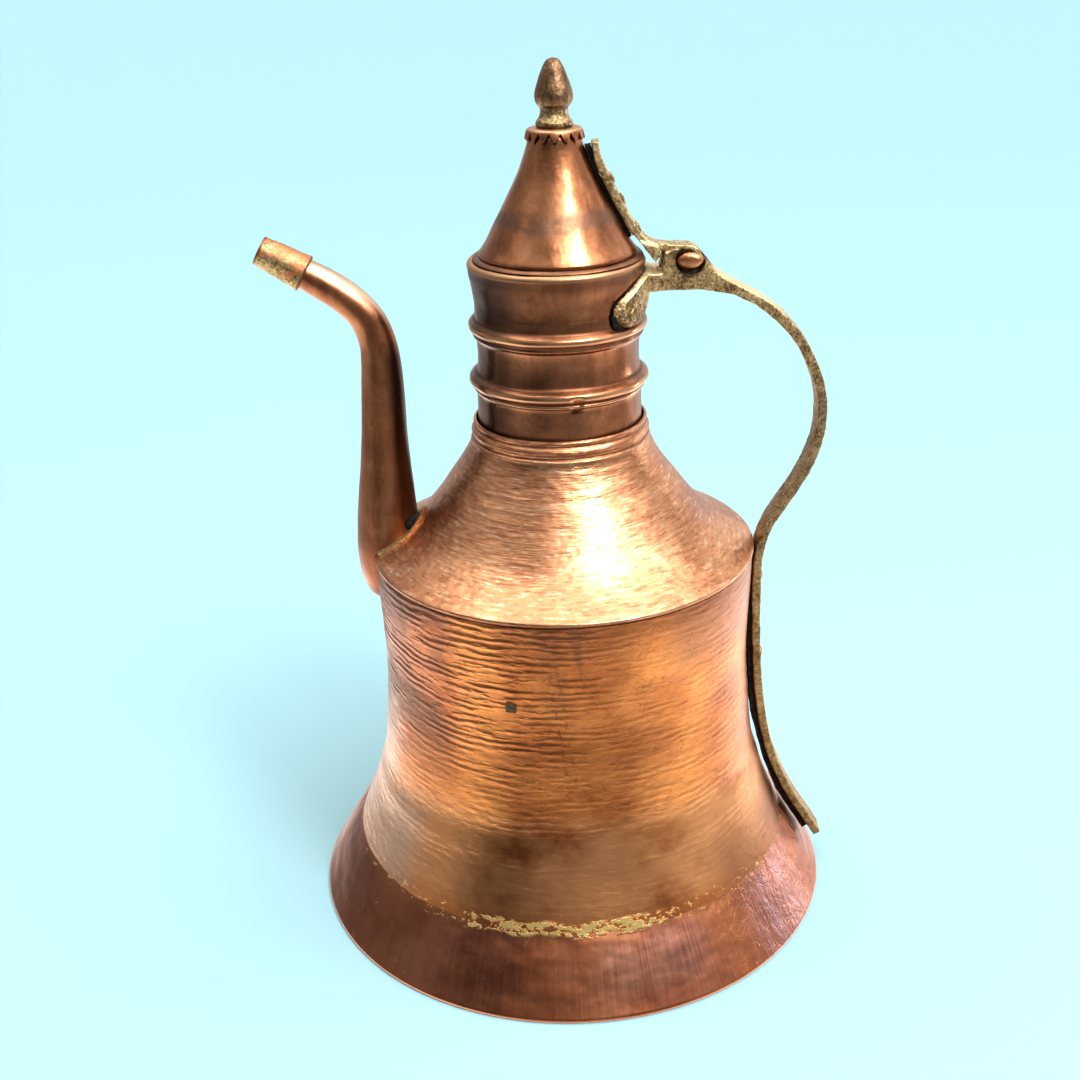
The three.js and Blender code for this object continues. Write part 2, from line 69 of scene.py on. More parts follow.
# strength, azimuth, elevation, angle of the full part and angle of the edge of each soft lamp, in degrees
LAMPS = [
    (4.2, -62, 54, 8, 22),
    (3.2, 8, 62, 8, 24),
    (1.6, -30, 46, 10, 30),
    (4.2, 150, 74, 9, 24),
    (0.7, 45, 18, 8, 34),
    (2.6, 24, -5, 2, 9),
    (0.8, 42, -32, 8, 30),
    (0.5, 140, -36, 8, 24),
]


class Field:
    """A number that varies over a surface or a direction, so that shader maths reads as Python."""

    def __init__(self, socket):
        self.socket = socket

    def maths(self, operation, *values):
        tree = self.socket.id_data
        node = tree.nodes.new("ShaderNodeMath")
        node.operation = operation
        for place, value in zip(node.inputs, values):
            if isinstance(value, Field):
                tree.links.new(value.socket, place)
            else:
                place.default_value = value
        return Field(node.outputs[0])

    def __add__(self, other):
        return self.maths("ADD", self, other)

    def __sub__(self, other):
        return self.maths("SUBTRACT", self, other)

    def __rsub__(self, other):
        return self.maths("SUBTRACT", other, self)

    def __mul__(self, other):
        return self.maths("MULTIPLY", self, other)

    def __truediv__(self, other):
        return self.maths("DIVIDE", self, other)

    def __neg__(self):
        return self.maths("MULTIPLY", self, -1.0)

    __radd__ = __add__
    __rmul__ = __mul__

    def most(self, other):
        return self.maths("MAXIMUM", self, other)

    def least(self, other):
        return self.maths("MINIMUM", self, other)

    def wave(self):
        return self.maths("SINE", self)

    def root(self):
        return self.maths("SQRT", self)

    def size(self):
        return self.maths("ABSOLUTE", self)


class Nodes:
    """A node tree whose nodes are added through one method."""

    def __init__(self, tree):
        self.tree = tree

    def node(self, kind, settings=None, inputs=None):
        made = self.tree.nodes.new(kind)
        for key, value in (settings or {}).items():
            if key == "stops":
                while len(made.color_ramp.elements) < len(value):
                    made.color_ramp.elements.new(1.0)
                for stop, (place, colour) in zip(made.color_ramp.elements, value):
                    stop.position = place
                    stop.color = (*colour, 1.0)
            else:
                setattr(made, key, value)
        for key, value in (inputs or {}).items():
            if isinstance(value, Field):
                value = value.socket
            if isinstance(value, bpy.types.NodeSocket):
                self.tree.links.new(value, made.inputs[key])
            else:
                made.inputs[key].default_value = value
        return made

    def axes(self, vector):
        apart = self.node("ShaderNodeSeparateXYZ", inputs={0: vector})
        return [Field(apart.outputs[i]) for i in range(3)]

    def rise(self, field, low, high):
        """0 below low, 1 above high and a smooth rise between them; low may be the higher."""
        settings = {"interpolation_type": "SMOOTHSTEP"}
        made = self.node("ShaderNodeMapRange", settings, {0: field, 1: low, 2: high})
        return Field(made.outputs[0])

    def band(self, field, middle, half, soft):
        """1 within half of middle, falling to 0 over the width soft."""
        return self.rise((field - middle).size(), half + soft, half)

    def blend(self, factor, first, second):
        """One colour where factor is 0 and the other where it is 1."""
        made = self.node("ShaderNodeMix", {"data_type": "RGBA"}, {0: factor})
        for place, colour in ((6, first), (7, second)):
            if isinstance(colour, bpy.types.NodeSocket):
                self.tree.links.new(colour, made.inputs[place])
            else:
                made.inputs[place].default_value = (*colour, 1.0)
        return made.outputs[2]


def towards(azimuth, elevation):
    """The direction at an azimuth from +X and an elevation, in degrees."""
    a, e = math.radians(azimuth), math.radians(elevation)
    return Vector((math.cos(a) * math.cos(e), math.sin(a) * math.cos(e), math.sin(e)))


world = bpy.data.worlds.new("studio")
world.use_nodes = True
bpy.context.scene.world = world
room = Nodes(world.node_tree)
direction = room.node("ShaderNodeTexCoord").outputs["Generated"]
x, y, z = room.axes(direction)


def lamp(azimuth, elevation, full, edge):
    """A soft patch of light on the room's wall, full near its middle and gone past its edge."""
    facing = room.node(
        "ShaderNodeVectorMath",
        {"operation": "DOT_PRODUCT"},
        {0: direction, 1: towards(azimuth, elevation)},
    ).outputs["Value"]
    return room.rise(Field(facing), math.cos(math.radians(edge)), math.cos(math.radians(full)))


level = (x * x + y * y).root()
front = room.rise(-y / level, 0.25, 0.95)
left = room.rise(-x / level, 0.1, 0.85)
below = room.rise(z, -0.33, -0.55)
above = room.rise(z, 0.35, 0.7)
glow = 0.72 - 0.47 * front - 0.32 * left
glow = glow + below * (1.45 - 0.7 * front + 0.45 * left)
glow = glow + above * (0.35 + 0.2 * left)
for strength, *place in LAMPS:
    glow = glow + strength * lamp(*place)
seen = Field(room.node("ShaderNodeLightPath").outputs["Is Camera Ray"])
glow = glow + (1.0 - glow) * seen
background = room.tree.nodes["Background"]
room.tree.links.new(room.blend(seen, LIGHT_TINT, WALL_TINT), background.inputs["Color"])
room.tree.links.new(glow.socket, background.inputs["Strength"])


def key_lamp(name, azimuth, elevation, distance, width, height, power):
    """A soft box on a stand, turned to the middle of the jug and out of sight of the camera."""
    data = bpy.data.lights.new(name, "AREA")
    data.shape = "RECTANGLE"
    data.size, data.size_y, data.energy = width, height, power
    box = bpy.data.objects.new(name, data)
    bpy.context.scene.collection.objects.link(box)
    aim = towards(azimuth, elevation)
    box.location = aim * distance + Vector((0, 0, 0.2))
    box.rotation_mode = "QUATERNION"
    box.rotation_quaternion = aim.to_track_quat("Z", "Y")
    box.visible_camera = False


key_lamp("window_front", -50, 50, 1.5, 0.35, 0.5, 14)
key_lamp("window_side", 22, -3, 1.6, 0.12, 0.3, 1.7)


def leave_all():
    """Nothing is selected, so that the next operator acts only on its own piece."""
    if bpy.context.object and bpy.context.object.mode != "OBJECT":
        bpy.ops.object.mode_set(mode="OBJECT")
    bpy.ops.object.select_all(action="DESELECT")


leave_all()
bpy.ops.mesh.primitive_plane_add(size=40)
floor = bpy.context.object
floor.name = "floor"
floor.visible_glossy = False
paint = bpy.data.materials.new("pale_floor")
paint.use_nodes = True
matt = Nodes(paint.node_tree)
coat = matt.tree.nodes["Principled BSDF"]
coat.inputs["Roughness"].default_value = 1.0
coat.inputs["Specular IOR Level"].default_value = 0.0
grain = matt.node("ShaderNodeTexNoise", inputs={"Scale": 3.0, "Detail": 2.0}).outputs[0]
matt.tree.links.new(matt.blend(Field(grain), *FLOOR_TINTS), coat.inputs["Base Color"])
floor.data.materials.append(paint)


# ---- Base pan ----
# The foot is a pan raised from copper sheet, closed underneath by a disc let into its turned-in edge. Its
# flared wall is brazed over the lower edge of the body. It is redder than the rest and brushed up and down.
ROUND_STEPS = 240


def through(points, step):
    """A smooth line through a few drawn points, with a point about every step."""
    drawn = [Vector(p) for p in points]
    drawn = [2 * drawn[0] - drawn[1], *drawn, 2 * drawn[-1] - drawn[-2]]
    line = []
    for a, b, c, d in zip(drawn, drawn[1:], drawn[2:], drawn[3:]):
        count = max(1, round((c - b).length / step))
        for t in (i / count for i in range(count)):
            bend = (2 * a - 5 * b + 4 * c - d) * t * t + (3 * b - a - 3 * c + d) * t**3
            line.append(tuple(0.5 * (2 * b + (c - a) * t + bend)))
    return [*line, tuple(drawn[-2])]


def beside(line, distance):
    """A line at an even distance inside a profile that runs upwards."""
    moved = []
    for i, (r, z) in enumerate(line):
        before, after = line[max(i - 1, 0)], line[min(i + 1, len(line) - 1)]
        along = Vector((after[0] - before[0], after[1] - before[1])).normalized()
        moved.append((r - along.y * distance, z + along.x * distance))
    return moved


def arc(centre, radius, start, end, count):
    """Points on an arc from one angle to another, in degrees."""
    angles = [math.radians(start + (end - start) * i / count) for i in range(count + 1)]
    return [(centre[0] + radius * math.cos(a), centre[1] + radius * math.sin(a)) for a in angles]


def drawn_line(name, points):
    """A new piece that is one line of joined points, left in edit mode."""
    leave_all()
    bpy.ops.mesh.primitive_plane_add(size=MM)
    piece = bpy.context.object
    piece.name = piece.data.name = name
    bpy.ops.object.mode_set(mode="EDIT")
    bpy.ops.mesh.merge(type="CENTER")
    bpy.ops.transform.translate(value=Vector(points[0]) * MM)
    for before, after in zip(points, points[1:]):
        step = (Vector(after) - Vector(before)) * MM
        bpy.ops.mesh.extrude_region_move(TRANSFORM_OT_translate={"value": step})
    return piece


def spun(name, line, steps):
    """A piece turned about Z from its line of (radius, height) points."""
    piece = drawn_line(name, [(r, 0, z) for r, z in line])
    bpy.ops.mesh.select_all(action="SELECT")
    bpy.ops.mesh.spin(steps=steps, angle=math.tau, center=(0, 0, 0), axis=(0, 0, 1))
    bpy.ops.mesh.select_all(action="SELECT")
    bpy.ops.mesh.remove_doubles(threshold=0.01 * MM)
    bpy.ops.mesh.normals_make_consistent(inside=False)
    bpy.ops.object.mode_set(mode="OBJECT")
    bpy.ops.object.shade_smooth_by_angle(angle=math.radians(50))
    return piece


def apply(piece, kind, **settings):
    """A modifier with its settings, put on a piece and applied."""
    bpy.context.view_layer.objects.active = piece
    piece.select_set(True)
    modifier = piece.modifiers.new(kind.lower(), kind)
    for key, value in settings.items():
        setattr(modifier, key, value)
    bpy.ops.object.modifier_apply(modifier=modifier.name)


def hammered(piece, size, depth, share=None, detail=2):
    """Uneven metal: a noise with features of size (x, y, z) in millimetres moves the surface by depth.

    share says how much of it a point takes, from its place in millimetres."""
    texture = bpy.data.textures.new(piece.name, "CLOUDS")
    texture.noise_scale = 1.0
    texture.noise_depth = detail
    rule = bpy.data.objects.new("rule", None)
    bpy.context.scene.collection.objects.link(rule)
    rule.scale = Vector(size) * MM
    rule.location = (0.31, 0.17, 0.43)
    bpy.context.view_layer.update()
    group = piece.vertex_groups.new(name="share")
    for corner in piece.data.vertices:
        group.add([corner.index], share(corner.co / MM) if share else 1.0, "REPLACE")
    apply(
        piece,
        "DISPLACE",
        texture=texture,
        texture_coords="OBJECT",
        texture_coords_object=rule,
        strength=depth * MM,
        mid_level=0.5,
        vertex_group="share",
    )
    piece.vertex_groups.remove(piece.vertex_groups["share"])
    bpy.data.objects.remove(rule)


def finished(piece, body, slot, material, *nodes):
    """A piece takes its finish and rides on its body in place of its CAD nodes."""
    piece.data.materials.clear()
    piece.data.materials.append(material)
    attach(piece, body)
    if nodes:
        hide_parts(*nodes)


class Finish(Nodes):
    """A metal's look, worked out from the place of each point in the frame."""

    def __init__(self, name, **fixed):
        self.material = bpy.data.materials.new(name)
        self.material.use_nodes = True
        super().__init__(self.material.node_tree)
        self.shader = self.tree.nodes["Principled BSDF"]
        self.place = self.node("ShaderNodeTexCoord").outputs["Object"]
        self.x, self.y, self.z = (a * 1000 for a in self.axes(self.place))
        self.azimuth = self.y.maths("ARCTAN2", self.y, self.x) * math.degrees(1)
        self.colour = self.normal = None
        self.set(Metallic=1.0, **fixed)

    def set(self, **values):
        for key, value in values.items():
            place = self.shader.inputs[key.replace("_", " ")]
            if isinstance(value, Field):
                value = value.socket
            if isinstance(value, bpy.types.NodeSocket):
                self.tree.links.new(value, place)
            else:
                place.default_value = value

    def shrunk(self, size):
        """Coordinates in which size (x, y, z), in millimetres, is one unit."""
        scale = [1 / (MM * s) for s in size]
        return self.node("ShaderNodeMapping", inputs={"Vector": self.place, "Scale": scale}).outputs[0]

    def noise(self, size, detail=3.0, rough=0.55, swirl=0.0):
        """Clouds from 0 to 1 whose features have that size."""
        inputs = {"Vector": self.shrunk(size), "Scale": 1.0, "Detail": detail}
        inputs |= {"Roughness": rough, "Distortion": swirl}
        return Field(self.node("ShaderNodeTexNoise", inputs=inputs).outputs[0])

    def strokes(self, across, along):
        """Fine streaks that run up a turned wall, whatever its slope."""
        far = (self.x * self.x + self.y * self.y).root() / (100 / across)
        inputs = {0: self.x / far, 1: self.y / far, 2: self.z / along}
        where = self.node("ShaderNodeCombineXYZ", inputs=inputs)
        inputs = {"Vector": where.outputs[0], "Scale": 1.0, "Detail": 4.0, "Roughness": 0.6}
        return Field(self.node("ShaderNodeTexNoise", inputs=inputs).outputs[0])

    def facing_up(self, low, high):
        """1 where the surface faces up."""
        return self.rise(self.axes(self.node("ShaderNodeNewGeometry").outputs["Normal"])[2], low, high)

    def dents(self, size, smooth=0.6):
        """The rounded hollows of a hammer's face, from 0 in the middle of each to 1 at its edge."""
        inputs = {"Vector": self.shrunk(size), "Scale": 1.0, "Smoothness": smooth}
        return Field(self.node("ShaderNodeTexVoronoi", {"feature": "SMOOTH_F1"}, inputs).outputs[0])

    def cracks(self, size, width):
        """1 on the thin borders between cells of that size, 0 inside them."""
        inputs = {"Vector": self.shrunk(size), "Scale": 1.0}
        cells = self.node("ShaderNodeTexVoronoi", {"feature": "DISTANCE_TO_EDGE"}, inputs)
        return self.rise(Field(cells.outputs["Distance"]), width, 0.0)

    def tones(self, field, *stops):
        """The metal's own colours, over the values of a field."""
        self.colour = self.node("ShaderNodeValToRGB", {"stops": stops}, {0: field}).outputs[0]
        self.set(Base_Color=self.colour)

    def stain(self, mask, colour):
        """A colour laid over the ones before it where the mask is 1."""
        self.colour = self.blend(mask, self.colour, colour)
        self.set(Base_Color=self.colour)

    def relief(self, field, depth):
        """Adds a bump of that depth in millimetres on top of the ones before it."""
        inputs = {"Height": field, "Distance": depth * MM, "Strength": 1.0}
        if self.normal:
            inputs["Normal"] = self.normal
        self.normal = self.node("ShaderNodeBump", inputs=inputs).outputs[0]
        self.set(Normal=self.normal)


def foot_brass(look):
    """Brass that ran out of the foot seam: crumbs along the front and few elsewhere."""
    crumbs = look.noise((3.4, 3.4, 2.0), rough=0.6, swirl=0.25)
    line = look.band(look.z - look.noise((14, 14, 14)) * 7, 30.0, 2.0, 1.6)
    return look.rise(crumbs + look.band(look.azimuth, -91, 12, 22) * 0.15, 0.60, 0.68) * line


def pan_copper():
    look = Finish("pan_copper")
    z, azimuth = look.z, look.azimuth
    streaks = look.strokes(0.9, 22)
    patches = look.noise((30, 30, 24), detail=4, rough=0.6)
    fine = look.noise((3.5, 3.5, 5))
    look.tones(
        patches * 0.9 + streaks * 0.24 + fine * 0.2 - 0.12,
        (0.22, (0.130, 0.040, 0.025)),
        (0.40, (0.330, 0.096, 0.044)),
        (0.60, (0.470, 0.160, 0.072)),
        (0.85, (0.640, 0.270, 0.140)),
    )
    # darkest at the left of the front, greyish pink where it is worn, and painted highlight streaks of pale
    # purple at the right
    look.stain(look.band(azimuth, -148, 14, 24) * 0.5, (0.085, 0.038, 0.025))
    worn = look.band(azimuth + patches * 14, -64, 7, 10) * look.band(z, 20, 6, 9)
    look.stain(worn * look.rise(streaks, 0.34, 0.6) * 0.4, (0.46, 0.27, 0.23))
    creases = look.noise((6, 6, 9), detail=4, rough=0.65, swirl=0.6)
    # painted highlight: pale purple streaks down the right of the pan
    pale = look.band(azimuth + patches * 10, -27, 5, 12) * look.rise(streaks, 0.36, 0.6)
    look.stain(pale * 0.6, (0.44, 0.30, 0.38))
    bloom = look.band(azimuth + patches * 26, -104, 5, 12)
    bloom = bloom.most(look.band(azimuth + patches * 20, -56, 4, 12))
    look.stain(bloom * 0.2, (0.33, 0.15, 0.13))
    look.stain(look.rise(z + patches * 9, 30, 38) * 0.8, (0.34, 0.125, 0.052))
    look.stain(look.rise(z + patches * 4, 5.5, 1.5) * 0.6, (0.58, 0.20, 0.055))
    brass = foot_brass(look)
    look.stain(brass * 0.75, (0.50, 0.40, 0.13))
    scratches = look.cracks((34, 34, 70), 0.005) * look.rise(fine, 0.52, 0.6)
    look.stain(scratches * 0.5, (0.70, 0.44, 0.32))
    look.set(Roughness=0.2 + streaks * 0.16 + patches * 0.08, Metallic=1 - brass * 0.45)
    look.relief(look.noise((12, 12, 9), detail=2), 0.3)
    look.relief(streaks, 0.03)
    look.relief(creases * look.band(azimuth, -28, 16, 16), 0.9)
    look.relief(brass, 0.15)
    return look.material


PAN_WALL = [(119.9, 1.9), (116.8, 6.8), (109.2, 19.8), (103.6, 28.4), (100.3, 33.2)]
pan_outside = [(117.6, 0), *arc((118.4, 1.5), 1.5, -90, 0, 5), *through(PAN_WALL, 1.1)]
pan_inside = beside(through(PAN_WALL[1:], 4), 1.4)
pan_foot = [(106.2, 0), *pan_outside, *pan_inside[::-1], (113, 1.8), (106.2, 1.8), (106.2, 0)]
base_pan = spun("base_pan_copper", pan_foot, ROUND_STEPS)


def pan_share(at):
    return min(1.0, max(0.0, at.z - 0.6) / 5) * min(1.0, max(0.0, 34 - at.z) / 4)


hammered(base_pan, (16, 16, 12), 0.9, pan_share)
pan_finish = pan_copper()
finished(base_pan, "jug", "hammered_copper", pan_finish, "base_pan")

# the disc that closes the foot, pressed a little hollow so that the jug stands on its rim
DISC_LINE = [(0, 0.5), (60, 0.4), (98, 0.15), (103, 0), (105.4, 0.2), (105.6, 1.0), (105.3, 1.7)]
DISC_LINE += [(98, 1.75), (0, 1.8)]
disc = spun("base_disc_copper", DISC_LINE, ROUND_STEPS)
finished(disc, "jug", "hammered_copper", pan_finish, "base_disc")


# ---- Body ----
# A waisted shell of copper, closed by one brazed seam down the front and beaten in rows all round, so
# that it is covered in low wavy rings. Its lower edge is tucked into the pan and brazed with brass.
BODY_WALL = [(101.1, 31.9), (93.2, 51), (89.9, 62), (86.8, 73), (84.8, 91), (83, 118), (83.3, 138)]
BODY_WALL += [(84.3, 160), (84.3, 169.2)]
SEAM = {"top": (172.0, -95.7), "foot": (89.0, -88.7)}


def body_copper():
    look = Finish("body_copper")
    z, azimuth = look.z, look.azimuth
    patches = look.noise((42, 42, 30), detail=4, rough=0.6)
    rings = (z * (math.tau / 3.2) + look.noise((26, 26, 12), detail=2) * 11).wave() * 0.5 + 0.5
    kept = look.rise(look.noise((20, 20, 5)), 0.42, 0.60)
    rows = look.noise((5, 5, 1.9), detail=4, rough=0.65, swirl=0.9)
    grain = look.noise((1.7, 1.7, 1.4))
    facets = look.cracks((5.2, 5.2, 2.8), 0.06) * look.rise(look.noise((9, 9, 6), detail=2), 0.46, 0.58)
    facets = facets * look.rise(z, 62, 100)
    upper_left = look.rise(z, 84, 140) * look.band(azimuth, -132, 26, 34)
    look.tones(
        patches * 0.8 + rows * 0.26 + grain * 0.16 - 0.13,
        (0.28, (0.30, 0.090, 0.032)),
        (0.44, (0.56, 0.182, 0.055)),
        (0.58, (0.74, 0.275, 0.082)),
        (0.80, (0.84, 0.40, 0.165)),
    )
    # painted shade under the shoulder and a little browner down the flare, with dark patina patches and
    # painted shade at the upper left
    brown = look.rise(z + patches * 26, 158, 186) * 0.6 + look.rise(z + patches * 22, 92, 48) * 0.1
    look.stain(brown, (0.34, 0.120, 0.052))
    # painted light: a brighter band low on the flare, where it faces the darker front of the room
    low = look.band(z, 58, 14, 12) * look.rise(patches, 0.30, 0.55)
    look.stain(low * 0.6, (0.90, 0.44, 0.20))
    # painted highlights: two upright bright bands, at the left and at the right of the front
    painted_highlight_bands = look.band(azimuth + rows * 4, -114, 3, 9) * look.rise(z, 58, 78)
    painted_highlight_bands = painted_highlight_bands.most(look.band(azimuth + patches * 14, -52, 7, 13) * look.band(z, 112, 26, 30))
    look.stain(painted_highlight_bands * 0.5, (0.88, 0.36, 0.105))
    # painted highlight: a pale reflection down the left edge and low on the flare
    pale = look.band(azimuth + patches * 10, -162, 7, 12) * look.rise(z, 36, 60) * look.rise(z, 140, 110)
    pale = pale.most(look.band(azimuth + patches * 20, -150, 14, 18) * look.band(z, 50, 9, 20))
    look.stain(pale * 0.6, (0.80, 0.60, 0.46))
    # painted shade at the right, under the shoulder beside the handle and low on the flare
    side = look.band(azimuth + rows * 8, -32, 16, 14) * look.rise(z + rows * 16, 136, 158)
    side = side.most(look.band(azimuth, -28, 14, 12) * look.rise(z, 62, 44))
    look.stain(side * 0.65, (0.30, 0.125, 0.066))
    # dark patina patches together with painted shade on the left side
    patina_and_left_shade = look.band(azimuth, -152, 20, 14) * look.rise(z, 70, 120) * look.rise(patches, 0.3, 0.6)
    look.stain(patina_and_left_shade * 0.75, (0.12, 0.060, 0.050))
    stains = look.band(azimuth + patches * 22, -50, 4, 9) * look.band(z + rows * 8, 134, 5, 9)
    stains = stains.most(look.band(azimuth + patches * 22, -56, 5, 8) * look.band(z + rows * 8, 116, 4, 9))
    look.stain(stains * 0.5, (0.34, 0.095, 0.030))
    # painted shade in the hollows of the rings, strongest at the upper left, and dark hammer marks
    hollows = look.rise(rings, 0.4, 0.0) * kept * (0.15 + 0.6 * upper_left) + facets * 0.3
    look.stain(hollows.least(0.8), (0.15, 0.046, 0.022))
    # the seam, with its small cramps, and a narrow brown tongue beside it
    lean = (SEAM["foot"][1] - SEAM["top"][1]) / (SEAM["foot"][0] - SEAM["top"][0])
    across = azimuth - SEAM["top"][1] - (z - SEAM["top"][0]) * lean + rows * 1.4 - 0.7
    cramp = look.rise((z * 0.72).wave(), -0.3, 0.3) * 2.4
    seam = look.band(across - cramp, -1.2, 0.2, 0.6) * look.rise(z, 84, 100) * look.rise(grain, 0.38, 0.52)
    look.stain(seam * 0.5, (0.20, 0.072, 0.030))
    shade = look.band(across, 0, 2, 3.5) * look.rise(z, 112, 165) * 0.35
    look.stain(shade, (0.20, 0.080, 0.040))
    tongue = look.rise((across - 7.6).size() * 12 + (165 - z), 30, 12) * look.rise(z, 125, 140)
    look.stain(tongue * 0.45, (0.17, 0.080, 0.050))
    brass = foot_brass(look)
    look.stain(brass * 0.75, (0.52, 0.42, 0.14))
    rough = 0.25 + patches * 0.16 + hollows * 0.15 + patina_and_left_shade * 0.1
    look.set(Roughness=rough, Metallic=1 - brass * 0.45)
    look.relief(rings * kept * (0.15 + 0.85 * upper_left), 0.42)
    look.relief(rows * look.rise(patches, 0.36, 0.62), 0.15)
    look.relief(1 - facets, 0.04)
    look.relief(look.dents((5.5, 5.5, 3.6)), 0.12)
    look.relief(grain, 0.05)
    look.relief(brass, 0.15)
    return look.material


body_outside = [(98.6, 27.6), (98.9, 31.6), *through(BODY_WALL, 0.9), (83.2, 169.8), (82.9, 170.6)]
body_inside = beside([(98.6, 27.6), *through(BODY_WALL, 6), (82.9, 170.6)], 1.5)
body = spun("body_copper", [*body_outside, *body_inside[::-1], body_outside[0]], ROUND_STEPS)


def body_share(at):
    """Full on the outside, most in the upper left part, and none where the shell is lapped."""
    if math.hypot(at.x, at.y) < 82.4 or not 34 < at.z < 169:
        return 0.0
    left = max(0.0, -at.x / 85) * (1 if at.y < 0 else 0.6)
    lap = min(1.0, (169 - at.z) / 2, (at.z - 34) / 4)
    top = min(1.0, max(0.0, at.z - 132) / 20)
    return lap * (0.12 + 0.16 * top + 0.72 * left * min(1.0, max(0.0, at.z - 80) / 40))


hammered(body, (34, 34, 3.4), 0.55, body_share)
hammered(body, (26, 26, 20), 0.8, body_share, detail=1)
finished(body, "jug", "hammered_copper", body_copper(), "body_shell")


# ---- Body plug ----
# A small square of darker copper let into the front of the body to close a hole. It is held by solder and
# filed nearly flush.
PLUG = {"azimuth": -106.4, "height": 131.3, "side": 4.4, "depth": 2.0, "face": 83.6}


def plug_copper():
    look = Finish("plug_copper")
    clouds = look.noise((1.5, 1.5, 1.5))
    look.tones(clouds, (0.3, (0.055, 0.066, 0.048)), (0.7, (0.17, 0.11, 0.06)))
    look.set(Roughness=0.42 + clouds * 0.2)
    look.relief(clouds, 0.08)
    return look.material


leave_all()
bpy.ops.mesh.primitive_cube_add(size=1)
plug = bpy.context.object
plug.name = plug.data.name = "body_plug_square"
plug.scale = Vector((PLUG["depth"], PLUG["side"], PLUG["side"])) * MM
plug.location = towards(PLUG["azimuth"], 0) * (PLUG["face"] - PLUG["depth"] / 2) * MM
plug.location.z = PLUG["height"] * MM
plug.rotation_euler.z = math.radians(PLUG["azimuth"])
bpy.ops.object.transform_apply()
bpy.ops.object.mode_set(mode="EDIT")
bpy.ops.mesh.subdivide(number_cuts=3)
bpy.ops.object.mode_set(mode="OBJECT")
apply(plug, "BEVEL", width=0.3 * MM, segments=2)
hammered(plug, (3, 3, 3), 0.3)
finished(plug, "jug", "dark_copper", plug_copper(), "body_plug")


# ---- Shoulder ----
# A concave cone of copper whose turned-down edge laps over the body. A beaded collar at its top grips
# the neck. It is planished in rows and is the brightest part of the jug.
SHOULDER_WALL = [(83.0, 172.7), (78.5, 175.1), (74, 177.7), (69.6, 180.6), (65.5, 183.8), (61.9, 187.4)]
SHOULDER_WALL += [(58.6, 191.4), (55, 196.2), (51.4, 201.2), (48, 205.8), (45, 210.2), (42.2, 214.7)]
SHOULDER_WALL += [(39.7, 219.4)]
SHOULDER_HEM = [(84.6, 169.9), (84.9, 170.1), *arc((84.0, 171.0), 1.0, 0, 58, 4)]
COLLAR_BEADS = [(39.0, 221.8), (38.9, 222.7), (37.9, 223.7), (38.0, 224.8), (38.6, 226.2), (38.1, 227.6)]
COLLAR_BEADS += [(37.1, 228.7), (37.2, 229.6), (37.6, 230.5)]


def shoulder_copper():
    look = Finish("shoulder_copper")
    z, azimuth = look.z, look.azimuth
    rows = look.noise((20, 20, 1.3), rough=0.6, swirl=0.35)
    blows = look.dents((3.6, 3.6, 2.4))
    patches = look.noise((36, 36, 26), detail=4, rough=0.6)
    grain = look.noise((2.2, 2.2, 2.2))
    look.tones(
        patches * 0.85 + rows * 0.25 + grain * 0.15 - 0.12,
        (0.28, (0.32, 0.130, 0.066)),
        (0.46, (0.53, 0.225, 0.110)),
        (0.62, (0.66, 0.320, 0.165)),
        (0.85, (0.80, 0.47, 0.27)),
    )
    left = look.band(azimuth, -150, 22, 34)
    dashes = look.noise((7, 7, 0.9), rough=0.6)
    # dark hammer strokes, and pale ones that are painted glints
    look.stain(look.rise(dashes, 0.54, 0.64) * 0.5, (0.22, 0.085, 0.042))
    look.stain(look.rise(dashes, 0.44, 0.34) * 0.55, (0.86, 0.60, 0.38))
    # painted shade, faint, on the left side
    look.stain(left * 0.05, (0.30, 0.13, 0.072))
    # painted shade along the lower lip of the turned-down edge, where it laps over the body
    edge = look.rise(z, 170.9, 170.3)
    look.stain(edge * 0.75, (0.13, 0.045, 0.022))
    # painted shade in the two grooves of the collar
    groove = look.band(z, 223.7, 0.25, 0.5) + look.band(z, 228.8, 0.25, 0.6)
    look.stain(groove * 0.7, (0.11, 0.035, 0.016))
    look.set(Roughness=0.23 + patches * 0.12 + rows * 0.08 + edge * 0.2)
    look.relief(rows, 0.2)
    look.relief(blows, 0.14)
    look.relief(dashes, 0.16)
    look.relief(grain, 0.03)
    return look.material


shoulder_line = [*SHOULDER_HEM, *through(SHOULDER_WALL, 0.9), *through(COLLAR_BEADS, 0.35)]
shoulder_line += [(37.2, 231.2), (36.4, 231.2), (36.3, 217.6)]
shoulder_line += beside(through(SHOULDER_WALL, 6), 1.5)[-2:0:-1]
shoulder_line += [(83.1, 171.2), (83.3, 170.0), SHOULDER_HEM[0]]
shoulder = spun("shoulder_copper", shoulder_line, ROUND_STEPS)


def shoulder_share(at):
    """Full on the cone, and little at its edge and on the beads."""
    if math.hypot(at.x, at.y) < 36.6:
        return 0.0
    return min(1.0, 0.25 + max(0.0, at.z - 173) / 5, 0.12 + max(0.0, 222 - at.z) / 4)


hammered(shoulder, (24, 24, 14), 0.9, shoulder_share)
hammered(shoulder, (30, 30, 2.6), 0.22, shoulder_share)
finished(shoulder, "jug", "hammered_copper", shoulder_copper(), "shoulder_cone")


